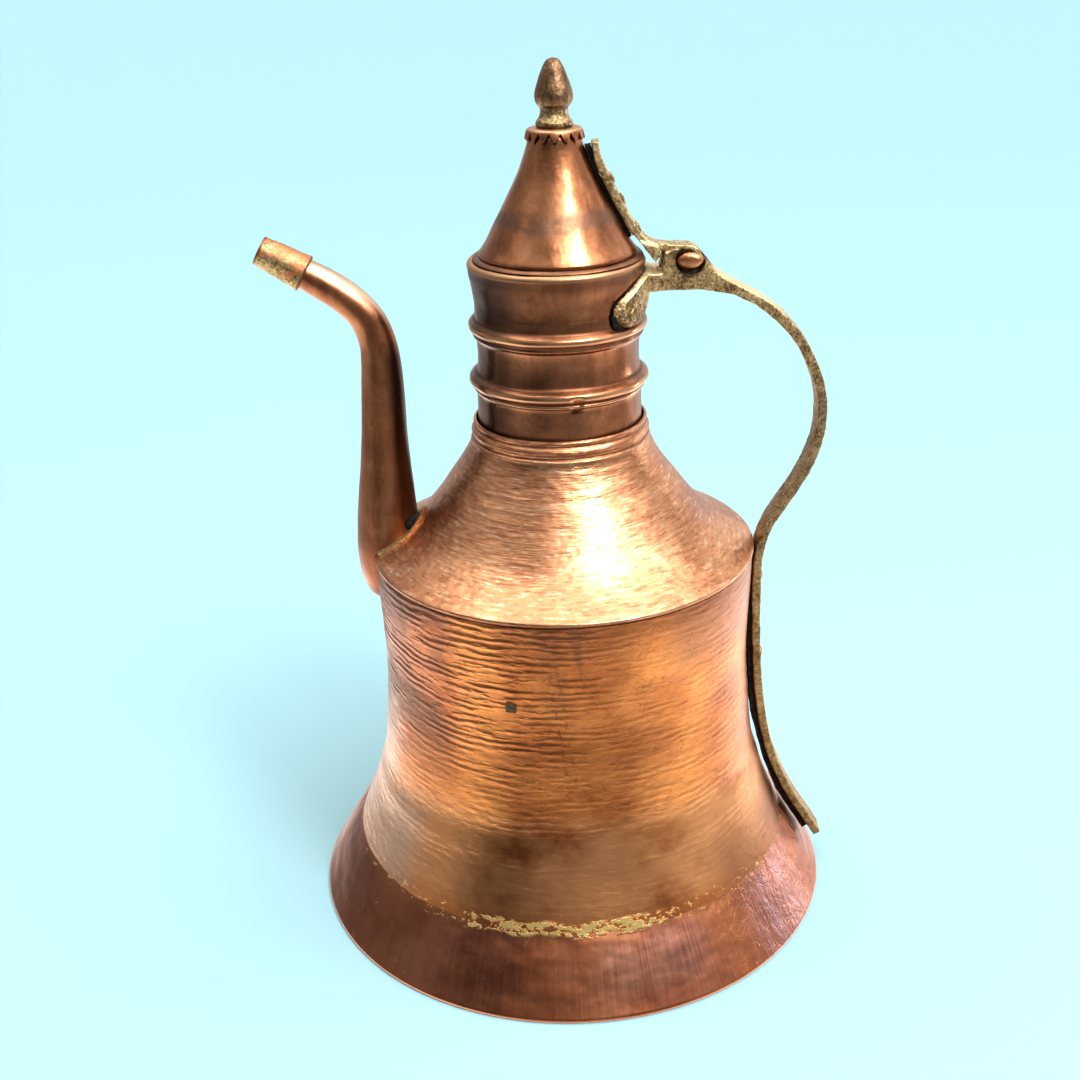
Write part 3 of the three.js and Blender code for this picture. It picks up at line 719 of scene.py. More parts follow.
# ---- Neck ----
# A thin copper tube with two raised beads, let into the collar. Its mouth is rolled inwards over a
# wire. It is smoother and darker than the body, and has a dent under the lower bead.
NECK_STEPS = 160
NECK_WALL = [(35.8, 221.5), (35.3, 233), (35.3, 243.2), (36.0, 244.4), (36.6, 245.5), (36.1, 246.4)]
NECK_WALL += [(36.4, 247.0), (37.7, 247.6), (38.3, 249), (37.9, 250.6), (36.6, 251.6), (35.0, 252.8)]
NECK_WALL += [(34.4, 256), (34.3, 261), (34.7, 266.8), (35.8, 268.0), (36.3, 268.9), (36.0, 269.8)]
NECK_WALL += [(36.2, 270.5), (37.3, 271.1), (37.8, 272.4), (37.4, 273.8), (36.2, 274.8), (35.1, 276.0)]
NECK_WALL += [(34.9, 280), (35.3, 285), (35.9, 289.6), (36.7, 294.2)]
ROLL = {"centre": (35.3, 297.7), "outside": 1.9, "inside": 1.05}


def smooth_copper(name, lighter):
    """Planished copper with a satin brown skin, lighter or darker from piece to piece."""
    look = Finish(name)
    patches = look.noise((22, 22, 30), detail=4, rough=0.6)
    streaks = look.noise((4, 4, 46))
    grain = look.noise((1.6, 1.6, 1.6))
    look.tones(
        patches * 0.8 + streaks * 0.3 + grain * 0.15 - 0.14 + lighter,
        (0.26, (0.12, 0.044, 0.022)),
        (0.44, (0.28, 0.104, 0.046)),
        (0.60, (0.43, 0.175, 0.080)),
        (0.85, (0.62, 0.30, 0.155)),
    )
    return look, patches, grain


def neck_copper():
    look, patches, grain = smooth_copper("neck_copper", -0.02)
    z = look.z
    # painted shade: dark lines at the edges of the beads and where the neck goes into the collar, and a
    # broad band under the rolled rim
    painted_shade_lines = look.band(z, 246.5, 0.15, 0.5) + look.band(z, 270.2, 0.15, 0.45) + look.band(z, 252.6, 0.2, 0.8)
    painted_shade_lines = painted_shade_lines + look.band(z, 275.6, 0.2, 0.8) + look.rise(z, 233.0, 230.8)
    painted_shade_lines = painted_shade_lines + look.rise(z, 290, 296) * 0.7
    look.stain(painted_shade_lines.least(1.0) * 0.7, (0.060, 0.020, 0.011))
    # painted shade down the left side of the neck
    left = look.band(look.azimuth, -158, 26, 30)
    look.stain(left * 0.7, (0.055, 0.028, 0.017))
    # darker over the upper neck, with painted shade deepest on the left side
    top = look.rise(z + patches * 5, 275, 284)
    look.stain(top * (0.3 + left * 0.55), (0.035, 0.018, 0.012))
    # painted reflection: a soft lighter band down the front of the neck
    middle = look.band(look.azimuth, -96, 18, 20) * look.rise(z, 284, 274)
    look.stain(middle * 0.3, (0.46, 0.21, 0.11))
    # painted shade on the neck under the handle's fork
    right = look.band(look.azimuth, -22, 16, 22) * look.rise(z, 262, 276)
    look.stain(right * 0.65, (0.12, 0.056, 0.036))
    # painted highlights on the crests of the beads and on the rolled rim
    painted_crest_highlights = look.band(z, 249.2, 0.7, 1.0) + look.band(z, 272.6, 0.6, 0.9) + look.rise(z, 296.6, 298.6)
    painted_crest_highlights = painted_crest_highlights + look.band(z, 245.5, 0.3, 0.5)
    look.stain(painted_crest_highlights.least(1.0) * 0.6, (0.78, 0.42, 0.22))
    smudge = look.band(look.azimuth + grain * 6, -76, 1.2, 2.4) * look.band(z + grain * 2, 244.2, 0.2, 0.7)
    look.stain(smudge * 0.9, (0.03, 0.012, 0.008))
    look.set(Roughness=0.2 + patches * 0.14 + painted_shade_lines.least(1.0) * 0.2)
    look.relief(look.noise((9, 9, 12), detail=2), 0.22)
    look.relief(1 - look.band(look.azimuth, -79, 1.5, 4) * look.band(z, 246.5, 1.5, 3), 0.7)
    look.relief(grain, 0.03)
    return look.material


neck_outside = [*through(NECK_WALL, 0.45), *arc(ROLL["centre"], ROLL["outside"], -28, 245, 22)]
neck_inside = beside(through(NECK_WALL[::2], 3), 1.2)[::-1]
roll_inside = arc(ROLL["centre"], ROLL["inside"], 245, -28, 14)
neck = spun("neck_copper", [*neck_outside, *roll_inside, *neck_inside, neck_outside[0]], NECK_STEPS)


def neck_share(at):
    return 1.0 if math.hypot(at.x, at.y) > 34.9 else 0.3


hammered(neck, (14, 14, 12), 0.5, neck_share, detail=1)
finished(neck, "jug", "smooth_copper", neck_copper(), "neck_tube")

steel = Finish("rim_steel", Roughness=0.6)
steel.tones(steel.noise((2, 2, 2)), (0.3, (0.12, 0.11, 0.10)), (0.7, (0.30, 0.28, 0.26)))


def repainted(node, material):
    """A CAD node stays as it is and takes a finish."""
    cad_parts[node].data.materials.clear()
    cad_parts[node].data.materials.append(material)


repainted("rim_wire", steel.material)


# ---- Spout ----
# A tapering copper tube, seamed and bent over a filler, darker than the rest. Its scoop-shaped lower end
# runs over the shoulder's edge, and it is soldered on round a thin flange.

# x, z and the radius there, from the closed foot to the mouth
SPOUT = [(-79, 146, 3.6), (-79, 149.5, 9.4), (-79, 155.7, 11.9), (-79, 162, 13.3), (-78.7, 172, 13.9)]
SPOUT += [(-78.2, 183, 13.6), (-77.8, 197, 12.4), (-77.1, 219, 10.4), (-76.2, 241, 9.4), (-75.9, 256, 8.5)]
SPOUT += [(-76.8, 266, 7.8), (-80.4, 275.8, 7.3), (-87, 283.4, 7.1), (-95.4, 289.7, 6.9)]
SPOUT += [(-104.6, 295.4, 6.5), (-122.9, 306, 5)]
spout_line = through(SPOUT, 1.2)
spout_middle = [(x, z) for x, z, _ in spout_line]


def bent(piece, line):
    """Bends a piece that stands on Z along a line of (x, z) points, as a pipe is bent to a drawing."""
    guide_data = bpy.data.curves.new("guide", "CURVE")
    guide_data.dimensions = "3D"
    guide_data.twist_mode = "MINIMUM"
    guide_data.use_stretch = guide_data.use_deform_bounds = True
    spline = guide_data.splines.new("POLY")
    spline.points.add(len(line) - 1)
    for point, (x, z) in zip(spline.points, line):
        point.co = (x * MM, 0, z * MM, 1)
    guide = bpy.data.objects.new("guide", guide_data)
    bpy.context.scene.collection.objects.link(guide)
    apply(piece, "CURVE", object=guide, deform_axis="POS_Z")
    bpy.data.objects.remove(guide)
    bpy.ops.object.mode_set(mode="EDIT")
    bpy.ops.mesh.select_all(action="SELECT")
    bpy.ops.mesh.normals_make_consistent(inside=False)
    bpy.ops.object.mode_set(mode="OBJECT")


def spout_stock(name, growth, wall=None):
    """The spout before it is bent: a straight rod or tube with the spout's radius at each length."""
    length, profile = 0.0, []
    for before, after in zip([spout_line[0], *spout_line], spout_line):
        length += math.hypot(after[0] - before[0], after[1] - before[1])
        profile.append((after[2] + growth, length))
    if wall:
        mouth = [(profile[-1][0] - wall / 2, length)]
        bore = [(max(r - wall, 0.4), z) for r, z in profile[::-1]]
        return spun(name, [*profile, *mouth, *bore, profile[0]], 64)
    return spun(name, [(0, 0), *profile, (0, length)], 64)


def cut(piece, tool, operation="DIFFERENCE"):
    """Cuts one piece with another, which is then thrown away."""
    apply(piece, "BOOLEAN", object=tool, operation=operation, solver="MANIFOLD")
    bpy.data.objects.remove(tool)


def spout_copper():
    look, patches, grain = smooth_copper("spout_copper", 0.04)
    z = look.z
    # painted highlight: pale cream along the upward faces of the bend
    worn = look.rise(z + patches * 8, 264, 276) * look.facing_up(0.25, 0.75)
    look.stain(worn * 0.65, (0.82, 0.58, 0.40))
    # painted shade on the inner side of the spout, facing the neck
    inner = look.rise(look.x + (z - 150) * 0.02 + patches * 3, -71.5, -67) * look.rise(z, 268, 258)
    look.stain(inner * 0.9, (0.022, 0.012, 0.009))
    look.stain(look.rise(z + patches * 24, 205, 176) * 0.35, (0.40, 0.14, 0.07))
    # painted shade at the foot of the spout, where it meets the body
    look.stain(look.rise(z + grain * 3, 159, 150) * 0.75, (0.06, 0.028, 0.018))
    look.set(Roughness=0.24 + patches * 0.16 + grain * 0.06)
    look.relief(look.noise((7, 7, 16)), 0.3)
    look.relief(grain, 0.03)
    return look.material


spout = spout_stock("spout_copper", 0, 1.2)
bent(spout, spout_middle)
core_line = [(0, 136), (82.4, 136), *beside(through(BODY_WALL[6:], 4), 0.8)]
core_line += [*beside(through(SHOULDER_WALL, 3), 0.8), (38, 228), (0, 228)]
cut(spout, spun("core", core_line, ROUND_STEPS))
bpy.ops.object.mode_set(mode="EDIT")
bpy.ops.mesh.select_all(action="SELECT")
bpy.ops.mesh.remove_doubles(threshold=0.005 * MM)
bpy.ops.object.mode_set(mode="OBJECT")
hammered(spout, (11, 11, 22), 0.6)
bpy.ops.object.shade_smooth_by_angle(angle=math.radians(40))
finished(spout, "jug", "dark_copper", spout_copper(), "spout_tube")


def cast_brass(name, gold):
    """Cast brass: pitted, dark in the pits, golden on the worn places and green-grey where it is dirty."""
    look = Finish(name)
    pits = look.noise((1.1, 1.1, 1.1), detail=4, rough=0.65)
    lumps = look.noise((4.5, 4.5, 4.5))
    patches = look.noise((16, 16, 16))
    worn = pits * 0.5 + lumps * 0.35 + patches * 0.35 - 0.1 + gold
    look.tones(
        worn,
        (0.32, (0.040, 0.026, 0.016)),
        (0.43, (0.20, 0.120, 0.054)),
        (0.54, (0.46, 0.31, 0.130)),
        (0.70, (0.82, 0.65, 0.36)),
    )
    rubs = look.rise(look.noise((1.6, 1.6, 1.6), rough=0.7), 0.56, 0.66)
    look.stain(rubs * 0.55, (0.95, 0.82, 0.56))
    dirt = look.rise(pits, 0.47, 0.39)
    look.set(Roughness=0.36 + pits * 0.2 + dirt * 0.15)
    look.relief(pits, 0.22)
    look.relief(lumps, 0.4)
    look.stain(dirt * 0.55, (0.045, 0.032, 0.022))
    return look, patches


def flange_copper():
    """Tinned with solder: mottled, bronze and pale, rougher than the spout."""
    look, patches = cast_brass("flange_copper", 0.10)
    look.stain(patches * 0.5, (0.50, 0.25, 0.13))
    return look.material


flange_line = [*beside(through(SHOULDER_WALL, 2), 0.3), *beside(through(SHOULDER_WALL, 2), -1.3)[::-1]]
flange = spun("spout_flange_copper", [*flange_line, flange_line[0]], ROUND_STEPS)
ring = spout_stock("ring", 3.4)
bent(ring, spout_middle)
cut(flange, ring, "INTERSECT")
apply(flange, "BEVEL", width=0.4 * MM, segments=2, limit_method="ANGLE")
finished(flange, "jug", "dark_copper", flange_copper(), "spout_flange")


# ---- Spout ferrule ----
# A tapering brass sleeve driven over the mouth of the spout and soldered. It is worn to a golden shine
# and stained green and red.
mouth, inner = Vector((SPOUT[-1][0], 0, SPOUT[-1][1])), Vector((SPOUT[-2][0], 0, SPOUT[-2][1]))
mouthward = (mouth - inner).normalized()


def ferrule_brass():
    look, _ = cast_brass("ferrule_brass", 0.04)
    stain = look.rise(look.noise((5, 5, 5)), 0.5, 0.62)
    look.stain(stain * 0.35, (0.34, 0.38, 0.16))
    along = look.x * mouthward.x + look.z * mouthward.z - (mouth.x * mouthward.x + mouth.z * mouthward.z)
    over = look.z * -mouthward.x + look.x * mouthward.z - (mouth.z * -mouthward.x + mouth.x * mouthward.z)
    red = look.rise(look.noise((4, 4, 4), detail=4) + over * 0.014, 0.47, 0.56) * 0.8
    look.stain(red, (0.56, 0.20, 0.085))
    ends = look.rise(along, -19.6, -20.8) + look.rise(along, -1.4, -0.4)
    look.stain(ends.least(1.0) * 0.8, (0.14, 0.045, 0.022))
    return look.material


def stood(piece, foot, upwards):
    """Stands a piece that was turned about Z on a place, in millimetres, with its top in a direction."""
    turn = Vector((0, 0, 1)).rotation_difference(upwards).to_matrix().to_4x4()
    piece.matrix_world = Matrix.Translation(foot * MM) @ turn
    bpy.ops.object.transform_apply()


SLEEVE_LINE = [(7.5, 0), (7.9, 0.4), (8.0, 1.2), (7.7, 2.2), (7.35, 6), (6.85, 13), (6.35, 19.4)]
SLEEVE_LINE += [(6.35, 20.4), (6.1, 21), (5.4, 21), (5.2, 20.4), (6.2, 8), (7.0, 0.2)]
SLEEVE_LENGTH = 21
sleeve = spun("spout_ferrule_brass", [*through(SLEEVE_LINE, 0.7), SLEEVE_LINE[0]], 72)
stood(sleeve, mouth - mouthward * SLEEVE_LENGTH, mouthward)
hammered(sleeve, (6, 6, 6), 0.5)
finished(sleeve, "jug", "cast_brass", ferrule_brass(), "spout_sleeve")


# ---- Handle ----
# One brass casting, filed by hand: the strap of the handle, the cheeks of the hinge and a fork that
# hugs the neck. The casting skin is pitted and dark, with golden worn specks, and a painted highlight along
# its upper faces near the hinge.
HINGE = Vector((55, 0, 298.3))


def handle_brass():
    look, patches = cast_brass("handle_brass", 0.0)
    tail = look.rise(look.z, 175, 150)
    inner = look.band(look.z, 205, 25, 40) * look.rise(patches, 0.35, 0.6)
    look.stain(inner * 0.35, (0.20, 0.17, 0.13))
    look.stain(tail * 0.3, (0.42, 0.26, 0.10))
    ax, az = look.x - HINGE.x, look.z - HINGE.z
    spread = (ax * ax + az * az).maths("SQRT", ax * ax + az * az)
    # painted shade in the slot and round the pin of the hinge
    recess_shade = look.rise(spread + patches * 2.4, 8.6, 7.2) * look.rise(look.y.size(), 6.4, 7.4)
    recess_shade = recess_shade.most(look.rise(spread, 11, 9) * look.rise(look.y.size(), 5.4, 4.9))
    look.stain(recess_shade * 0.9, (0.018, 0.012, 0.009))
    oval = ((look.y + 23) / 2.1) * ((look.y + 23) / 2.1) + ((look.z - 285) / 3.2) * ((look.z - 285) / 3.2)
    engraved = look.band(oval, 1.0, 0.15, 0.3) * look.rise(look.x, 5, 10)
    look.stain(engraved * 0.6, (0.05, 0.035, 0.02))
    look.relief(1 - engraved, 0.35)
    # painted highlight on the upward faces of the arms near the hinge
    painted_top_highlight = look.facing_up(0.35, 0.85) * look.rise(look.z, 262, 280) * look.rise(spread, 8, 11)
    look.stain(painted_top_highlight * 0.7, (0.92, 0.76, 0.46))
    return look.material


def cast_copy(node, name, grain):
    """A casting made from the CAD solid: its flats and corners are softened and its skin is roughened."""
    leave_all()
    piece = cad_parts[node].copy()
    piece.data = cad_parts[node].data.copy()
    for key in list(piece.keys()):
        del piece[key]
    piece.parent = None
    piece.name = piece.data.name = name
    bpy.context.scene.collection.objects.link(piece)
    bpy.context.view_layer.objects.active = piece
    piece.select_set(True)
    bpy.ops.object.mode_set(mode="EDIT")
    bpy.ops.mesh.select_all(action="SELECT")
    bpy.ops.mesh.remove_doubles(threshold=0.005 * MM)
    bpy.ops.object.mode_set(mode="OBJECT")
    apply(piece, "REMESH", mode="VOXEL", voxel_size=grain * MM, adaptivity=0.0)
    apply(piece, "SMOOTH", factor=0.5, iterations=4)
    hammered(piece, (9, 9, 9), 0.5, detail=1)
    hammered(piece, (2.2, 2.2, 2.2), 0.32)
    bpy.ops.object.shade_smooth()
    return piece


handle = cast_copy("handle", "handle_brass", 0.6)
finished(handle, "jug", "cast_brass", handle_brass(), "handle")


# ---- Rivets and hinge pin ----
# Brass rivets hold the fork to the neck and the tail to the body, hammered to low domes. The pin of the
# hinge is a copper rod whose ends are peened over in the recesses of the cheeks.
def rivet_brass(name, lighter):
    look, _ = cast_brass(name, lighter)
    return look.material


def dome(name, centre, outwards, radius, rise, depth):
    """A rivet's head on its shank, standing on a surface."""
    line = [(0, -depth), (1.3, -depth), (1.3, 0), (radius, 0), (radius, rise * 0.25)]
    line += [(radius * math.cos(a), rise * (0.25 + 0.75 * math.sin(a))) for a in (0.35, 0.7, 1.0, 1.3)]
    head = spun(name, [*line, (0, rise)], 28)
    stood(head, Vector(centre), outwards)
    hammered(head, (2.5, 2.5, 2.5), 0.35)
    return head


FORK = {"azimuth": 38, "outside": 39.2, "height": 280.5}
for side, azimuth in (("near", -FORK["azimuth"]), ("far", FORK["azimuth"])):
    out = towards(azimuth, 0)
    centre = out * FORK["outside"] + Vector((0, 0, FORK["height"]))
    head = dome(f"fork_rivet_{side}", centre, out, 2.7, 1.1, 4.6)
    finished(head, "jug", "cast_brass", rivet_brass(head.name, 0.02), f"neck_fork_rivet_{side}")
for place, outside, height in (("upper", 89.2, 152), ("lower", 90.2, 112)):
    head = dome(f"tail_rivet_{place}", (outside, 0, height), Vector((1, 0, 0)), 2.7, 1.0, 7)
    finished(head, "jug", "cast_brass", rivet_brass(head.name, 0.03), f"handle_tail_rivet_{place}")

# half of the pin, from the middle of the hinge outwards
PIN_LINE = [(2.6, 0), (2.6, 7.7), (5.1, 7.7), (5.4, 8.6), (5.1, 9.4), (4.2, 10.1), (2.6, 10.55), (0, 10.7)]


def pin_copper():
    look, _, grain = smooth_copper("pin_copper", 0.16)
    look.set(Roughness=0.28 + grain * 0.2)
    look.relief(look.noise((2.5, 2.5, 2.5)), 0.3)
    return look.material


half_pins = []
for side in (-1, 1):
    half = spun("hinge_pin_copper", PIN_LINE, 48)
    half.scale = (1, 0.62, 1)
    half.rotation_euler = (-side * math.pi / 2, 0, 0)
    half.location = HINGE * MM
    bpy.ops.object.transform_apply()
    half_pins.append(half)
leave_all()
for half in half_pins:
    half.select_set(True)
bpy.context.view_layer.objects.active = half_pins[0]
bpy.ops.object.join()
pin = bpy.context.object
pin.name = pin.data.name = "hinge_pin_copper"
hammered(pin, (3.5, 3.5, 3.5), 0.4)
finished(pin, "jug", "smooth_copper", pin_copper(), "hinge_pin")


# ---- Lid cone and skirt ----
# The lid is a cone of thin planished copper, soldered to a ring that drops into the neck and whose collar
# rests on the rolled rim. An old ring of dirt runs round the cone.
LID_MIDDLE = Vector((0.8, 0, 0))
TEETH = 16
LID_WALL = [(32.2, 303.4), (30, 306.8), (26.3, 313.4), (21, 323.3), (16.3, 332.8), (12.4, 342.2)]
LID_WALL += [(10.6, 348.4)]
LID_HEM = [(31.9, 301.3), (32.8, 301.4), (33.1, 301.9), (32.9, 302.6)]


def lid_copper():
    look, patches, grain = smooth_copper("lid_copper", 0.07)
    z = look.z
    smudge = look.band(z + patches * 8, 321.5, 1.6, 4) * look.rise(look.noise((9, 9, 5)), 0.32, 0.50)
    look.stain(smudge * 0.65, (0.12, 0.076, 0.054))
    # painted shade: a dark zigzag line just under the teeth of the crown, and the cone dark beneath the
    # collar
    turned = look.y.maths("ARCTAN2", look.y, look.x - LID_MIDDLE.x) * math.degrees(1)
    tooth = turned.maths("PINGPONG", turned, 180 / TEETH) / (180 / TEETH)
    edge = 347.3 + 3.4 * ((tooth - 0.19) / 0.81).most(0.0)
    look.stain(look.rise(z - edge, -1.5, -0.7), (0.030, 0.016, 0.010))
    look.stain(look.rise(z, 304.2, 302.6) * 0.5, (0.20, 0.065, 0.030))
    look.set(Roughness=0.21 + patches * 0.12 + smudge * 0.15)
    look.relief(look.noise((6, 6, 22), detail=2), 0.22)
    look.relief(look.noise((7, 7, 3)), 0.08)
    look.relief(grain, 0.02)
    return look.material


lid_finish = lid_copper()
lid_line = [*LID_HEM, *through(LID_WALL, 0.9), (9.9, 349.4), (2.4, 349.6), (2.4, 348.2)]
lid_line += [*beside(through(LID_WALL, 4), 1.2)[-2::-1], LID_HEM[0]]
lid_cone = spun("lid_cone_copper", lid_line, NECK_STEPS)


def lid_share(at):
    return min(1.0, max(0.0, at.z - 303) / 6)


def on_lid(piece):
    """Moves a piece turned about Z to the lid's own axis."""
    piece.location = LID_MIDDLE * MM
    bpy.ops.object.transform_apply()


hammered(lid_cone, (13, 13, 20), 0.7, lid_share, detail=1)
on_lid(lid_cone)
finished(lid_cone, "lid", "smooth_copper", lid_finish, "lid_cone")


def skirt_copper():
    look, _, grain = smooth_copper("skirt_copper", -0.04)
    look.stain(0.5 + grain * 0.3, (0.16, 0.085, 0.050))
    look.set(Roughness=0.34 + grain * 0.15)
    look.relief(grain, 0.06)
    return look.material


SKIRT_LINE = [(30.3, 291.2), (31.3, 291.2), (31.5, 292), (31.5, 299.6), (32.2, 299.8), (35.0, 299.7)]
SKIRT_LINE += [(35.5, 300.1), (35.0, 300.8), (32.6, 301.2), (31.6, 301.2), (31.3, 301.4), (31.2, 302.6)]
SKIRT_LINE += [(29.9, 302.6)]
skirt = spun("lid_skirt_copper", [*SKIRT_LINE, SKIRT_LINE[0]], NECK_STEPS)
hammered(skirt, (10, 10, 10), 0.3)
on_lid(skirt)
finished(skirt, "lid", "smooth_copper", skirt_copper(), "lid_skirt")


# ---- Crown and finial ----
# A scalloped copper collar caps the cone. The cast brass bud on top has a tang that goes through both
# and is peened over a washer inside.
CROWN_LINE = [(10.9, 347.4), (12.1, 347.3), (12.2, 347.8), (11.9, 349.2), (11.6, 350.4), (11.2, 351.2)]
CROWN_LINE += [(10.5, 351.7), (9.4, 351.9), (2.4, 351.9), (2.4, 350.7), (9.6, 350.7), (10.4, 350.1)]
CROWN_LINE += [(10.8, 348.6), (10.9, 347.4)]
NOTCH = {"centre": (12.5, 0, 348.1), "radius": 2.6, "narrow": 0.98}


def crown_copper():
    look, _, grain = smooth_copper("crown_copper", 0.02)
    # painted highlight along the top of the crown
    look.stain(look.rise(look.z, 350.6, 351.4) * 0.5, (0.80, 0.50, 0.28))
    look.set(Roughness=0.3 + grain * 0.15)
    look.relief(grain, 0.08)
    return look.material


crown = spun("crown_collar_copper", CROWN_LINE, TEETH * 9)
notches = []
for i in range(TEETH):
    leave_all()
    bpy.ops.mesh.primitive_cylinder_add(vertices=3, radius=NOTCH["radius"] * MM, depth=10 * MM)
    notch = bpy.context.object
    notch.location = Vector(NOTCH["centre"]) * MM
    notch.rotation_euler = (math.pi / 2, 0, math.pi / 2)
    notch.scale = (NOTCH["narrow"], 1, 1)
    bpy.ops.object.transform_apply()
    notch.rotation_euler.z = math.tau * (i + 0.5) / TEETH
    bpy.ops.object.transform_apply()
    notches.append(notch)
leave_all()
for notch in notches:
    notch.select_set(True)
bpy.context.view_layer.objects.active = notches[0]
bpy.ops.object.join()
cut(crown, notches[0])
leave_all()
bpy.context.view_layer.objects.active = crown
crown.select_set(True)
bpy.ops.object.shade_smooth_by_angle(angle=math.radians(40))
on_lid(crown)
finished(crown, "lid", "smooth_copper", crown_copper(), "crown_collar")

FINIAL_FOOT = [(7.2, 352.1), (7.5, 352.6), (7.5, 353.9), (7.0, 354.6), (6.2, 355.6), (5.7, 357.0)]
FINIAL_FOOT += [(5.5, 358.8), (6.0, 359.9)]
FINIAL_BUD = [(6.0, 359.9), (7.0, 360.9), (7.6, 362.6), (7.7, 364.4), (7.2, 366.8), (6.1, 370)]
FINIAL_BUD += [(4.8, 373.4), (3.5, 376), (2.1, 377.7), (0, 378.3)]


def finial_brass():
    look, _ = cast_brass("finial_brass", -0.02)
    # painted shade in the waist under the bud and where the foot meets the crown
    waist = look.band(look.z, 359.6, 0.4, 0.9) + look.band(look.z, 352.3, 0.3, 0.5)
    look.stain(waist * 0.8, (0.04, 0.026, 0.016))
    bud = look.rise(look.z, 359, 361)
    grain = look.noise((2.2, 2.2, 12))
    look.stain(bud * (0.42 + grain * 0.7).least(0.9), (0.17, 0.088, 0.048))
    shade = look.rise(grain, 0.56, 0.66) * bud
    look.stain(shade * 0.6, (0.05, 0.030, 0.020))
    look.set(Roughness=0.3 + grain * 0.2)
    return look.material


tang = [(0, 343.6), (2.9, 343.8), (3.1, 345.2), (2.0, 346.2), (2.0, 352.1)]
finial = spun("finial_brass", [*tang, *through(FINIAL_FOOT, 0.5), *through(FINIAL_BUD, 0.5)[1:]], 96)
hammered(finial, (4, 4, 4), 0.45)
on_lid(finial)
finished(finial, "lid", "cast_brass", finial_brass(), "finial")
repainted("finial_washer", lid_finish)


# ---- Lid strap ----
# A brass strap, cast in one with the knuckle of the hinge, runs up the cone. Three brass rivets hold it to
# the copper.
lid_strap = cast_copy("lid_strap", "lid_strap_brass", 0.35)
finished(lid_strap, "lid", "cast_brass", rivet_brass("lid_strap_brass", 0.08), "lid_strap")
STRAP_OUT = Vector((0.894, 0, 0.447))
for i, place in enumerate(((23.9, 331.6), (28.2, 322.9), (34.4, 311.4)), start=1):
    centre = Vector((place[0], 0, place[1])) - STRAP_OUT * 0.5
    head = dome(f"lid_strap_rivet_head_{i}", centre, STRAP_OUT, 2.5, 0.8, 4)
    finished(head, "lid", "cast_brass", rivet_brass(head.name, -0.03), f"lid_strap_rivet_{i}")


# ---- Solder and painted shade ----
# Soft solder, gone black, holds the spout's heel, the fork and the tail of the handle, and fills the gap
# behind the strap of the lid, under a brass strip along the strap's inner edge. These black pieces also
# stand in for painted shade in the gaps between the parts.
def black_solder_and_shade():
    look = Finish("black_solder_and_shade", Specular_IOR_Level=0.03)
    lumps = look.noise((2.2, 2.2, 2.2), detail=4, rough=0.65)
    look.set(Metallic=0.0, Roughness=0.55 + lumps * 0.3)
    look.tones(
        lumps,
        (0.36, (0.006, 0.005, 0.004)),
        (0.58, (0.016, 0.013, 0.011)),
        (0.82, (0.045, 0.034, 0.025)),
    )
    look.relief(lumps, 0.5)
    return look.material


solder = black_solder_and_shade()


def lump(name, azimuth, centre, size):
    """A blob of black solder, which also stands in for painted shade in a gap: a ball pressed to size
    (outwards, along, up) and turned to its azimuth.
    """
    leave_all()
    bpy.ops.mesh.primitive_ico_sphere_add(subdivisions=5, radius=1)
    piece = bpy.context.object
    piece.name = piece.data.name = name
    piece.scale = Vector(size) * MM
    piece.rotation_euler.z = math.radians(azimuth)
    piece.location = Vector(centre) * MM
    bpy.ops.object.transform_apply()
    hammered(piece, (3.5, 3.5, 3.5), 1.3)
    bpy.ops.object.shade_smooth()
    finished(piece, "jug", "dark_copper", solder)


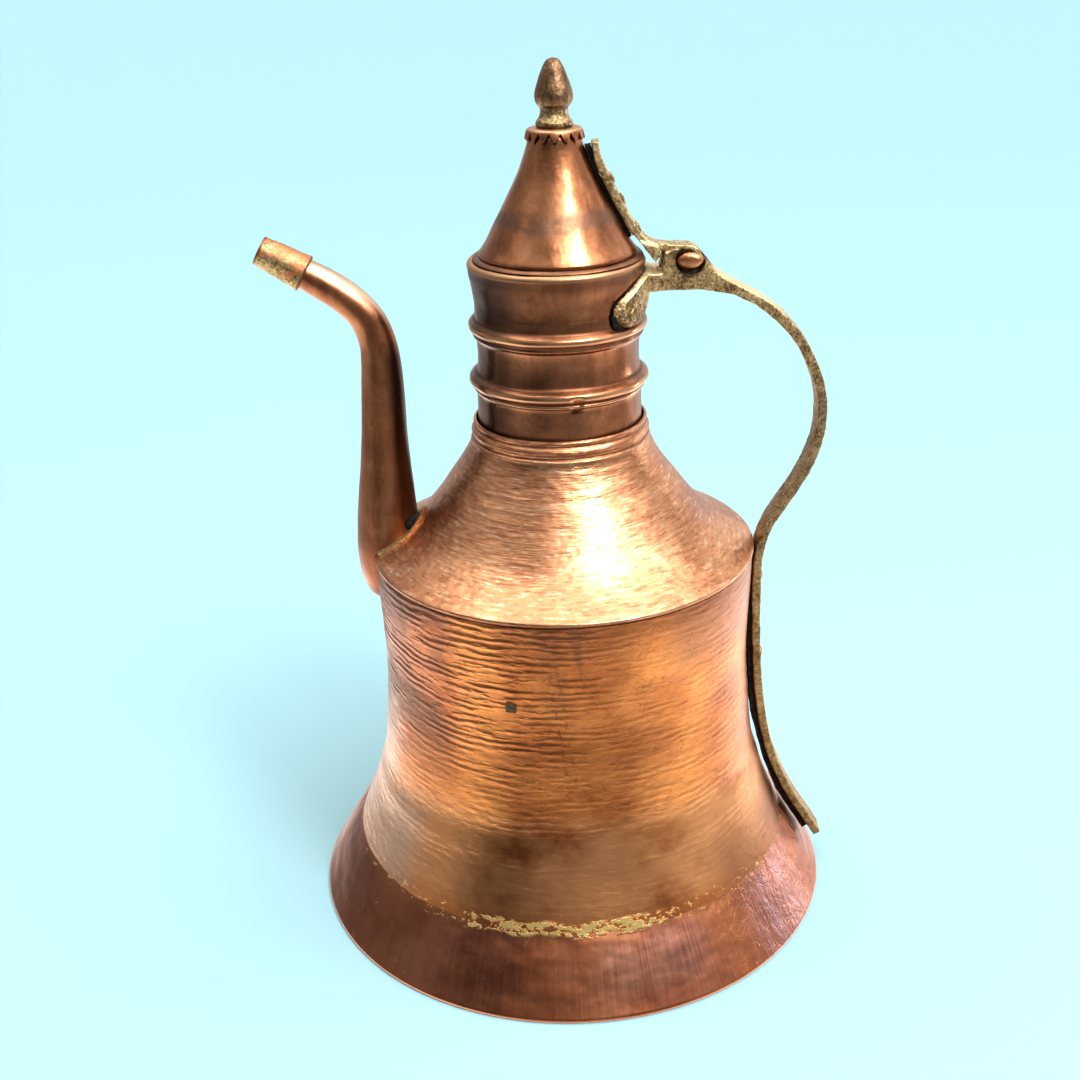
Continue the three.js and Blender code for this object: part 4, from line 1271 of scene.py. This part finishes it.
def filler(name, body_name, line, thickness, width, slot="dark_copper", finish=solder):
    """A strip of black solder, which also stands in for painted shade in a gap, or of metal, laid along a
    line of (x, z) points.
    """
    length = sum(math.dist(a, b) for a, b in zip(line, line[1:]))
    leave_all()
    bpy.ops.mesh.primitive_cube_add(size=1)
    piece = bpy.context.object
    piece.name = piece.data.name = name
    piece.scale = Vector((width, thickness, length)) * MM
    piece.location.z = length * MM / 2
    bpy.ops.object.transform_apply()
    bpy.ops.object.mode_set(mode="EDIT")
    bpy.ops.mesh.subdivide(number_cuts=40)
    bpy.ops.object.mode_set(mode="OBJECT")
    bent(piece, line)
    hammered(piece, (4, 4, 4), 1.1)
    bpy.ops.object.shade_smooth()
    finished(piece, body_name, slot, finish)


# black solder and painted shade at the heel of the spout
lump("spout_heel_solder_and_shade", -21, (-66.2, -5, 184.6), (2.4, 6.4, 3.2))
# black solder and painted shade where the fork's lobes stand off the neck
for side, azimuth in (("near", -43), ("far", 43)):
    centre = towards(azimuth, 0) * 35.4 + Vector((0, 0, 280.2))
    lump(f"fork_solder_and_shade_{side}", azimuth, centre, (1.9, 6.0, 6.6))
    azimuth *= 0.76
    centre = towards(azimuth, 0) * 35.6 + Vector((0, 0, 287))
    lump(f"fork_shade_fillet_{side}", azimuth, centre, (1.8, 4.6, 4.0))
# a black strip of solder and painted shade filling the gap behind the tail of the handle
TAIL_GAP = [(85.5, 167), (85.1, 156), (85.0, 138), (85.5, 112), (87.6, 84), (90.9, 69), (95.4, 53)]
TAIL_GAP += [(102.0, 37), (110.2, 23), (114.6, 16)]
filler("tail_gap_solder_and_shade", "jug", through(TAIL_GAP, 3), 2.6, 8)
# black strips of solder and painted shade filling the gaps under the tip and inner edge of the lid strap
STRAP_TIP = [(14.1, 344.6), (14.9, 341), (16.8, 336.4)]
filler("lid_strap_tip_solder_and_shade", "lid", through(STRAP_TIP, 2), 2.4, 6)
STRAP_INSIDE = [(18.3, 339.4), (20.1, 334.3), (23.2, 327.9), (26.5, 321.4), (30, 314.9), (33.4, 308.6)]
black_line = through([(x - 2.5, z - 1.2) for x, z in STRAP_INSIDE], 2)
filler("lid_strap_solder_and_shade", "lid", black_line, 1.3, 6)
edge_line = through([(x - 0.8, z - 0.4) for x, z in STRAP_INSIDE], 2)
edge_finish = rivet_brass("strap_edge_brass", 0.08)
filler("lid_strap_edge", "lid", edge_line, 1.9, 6.6, "cast_brass", edge_finish)
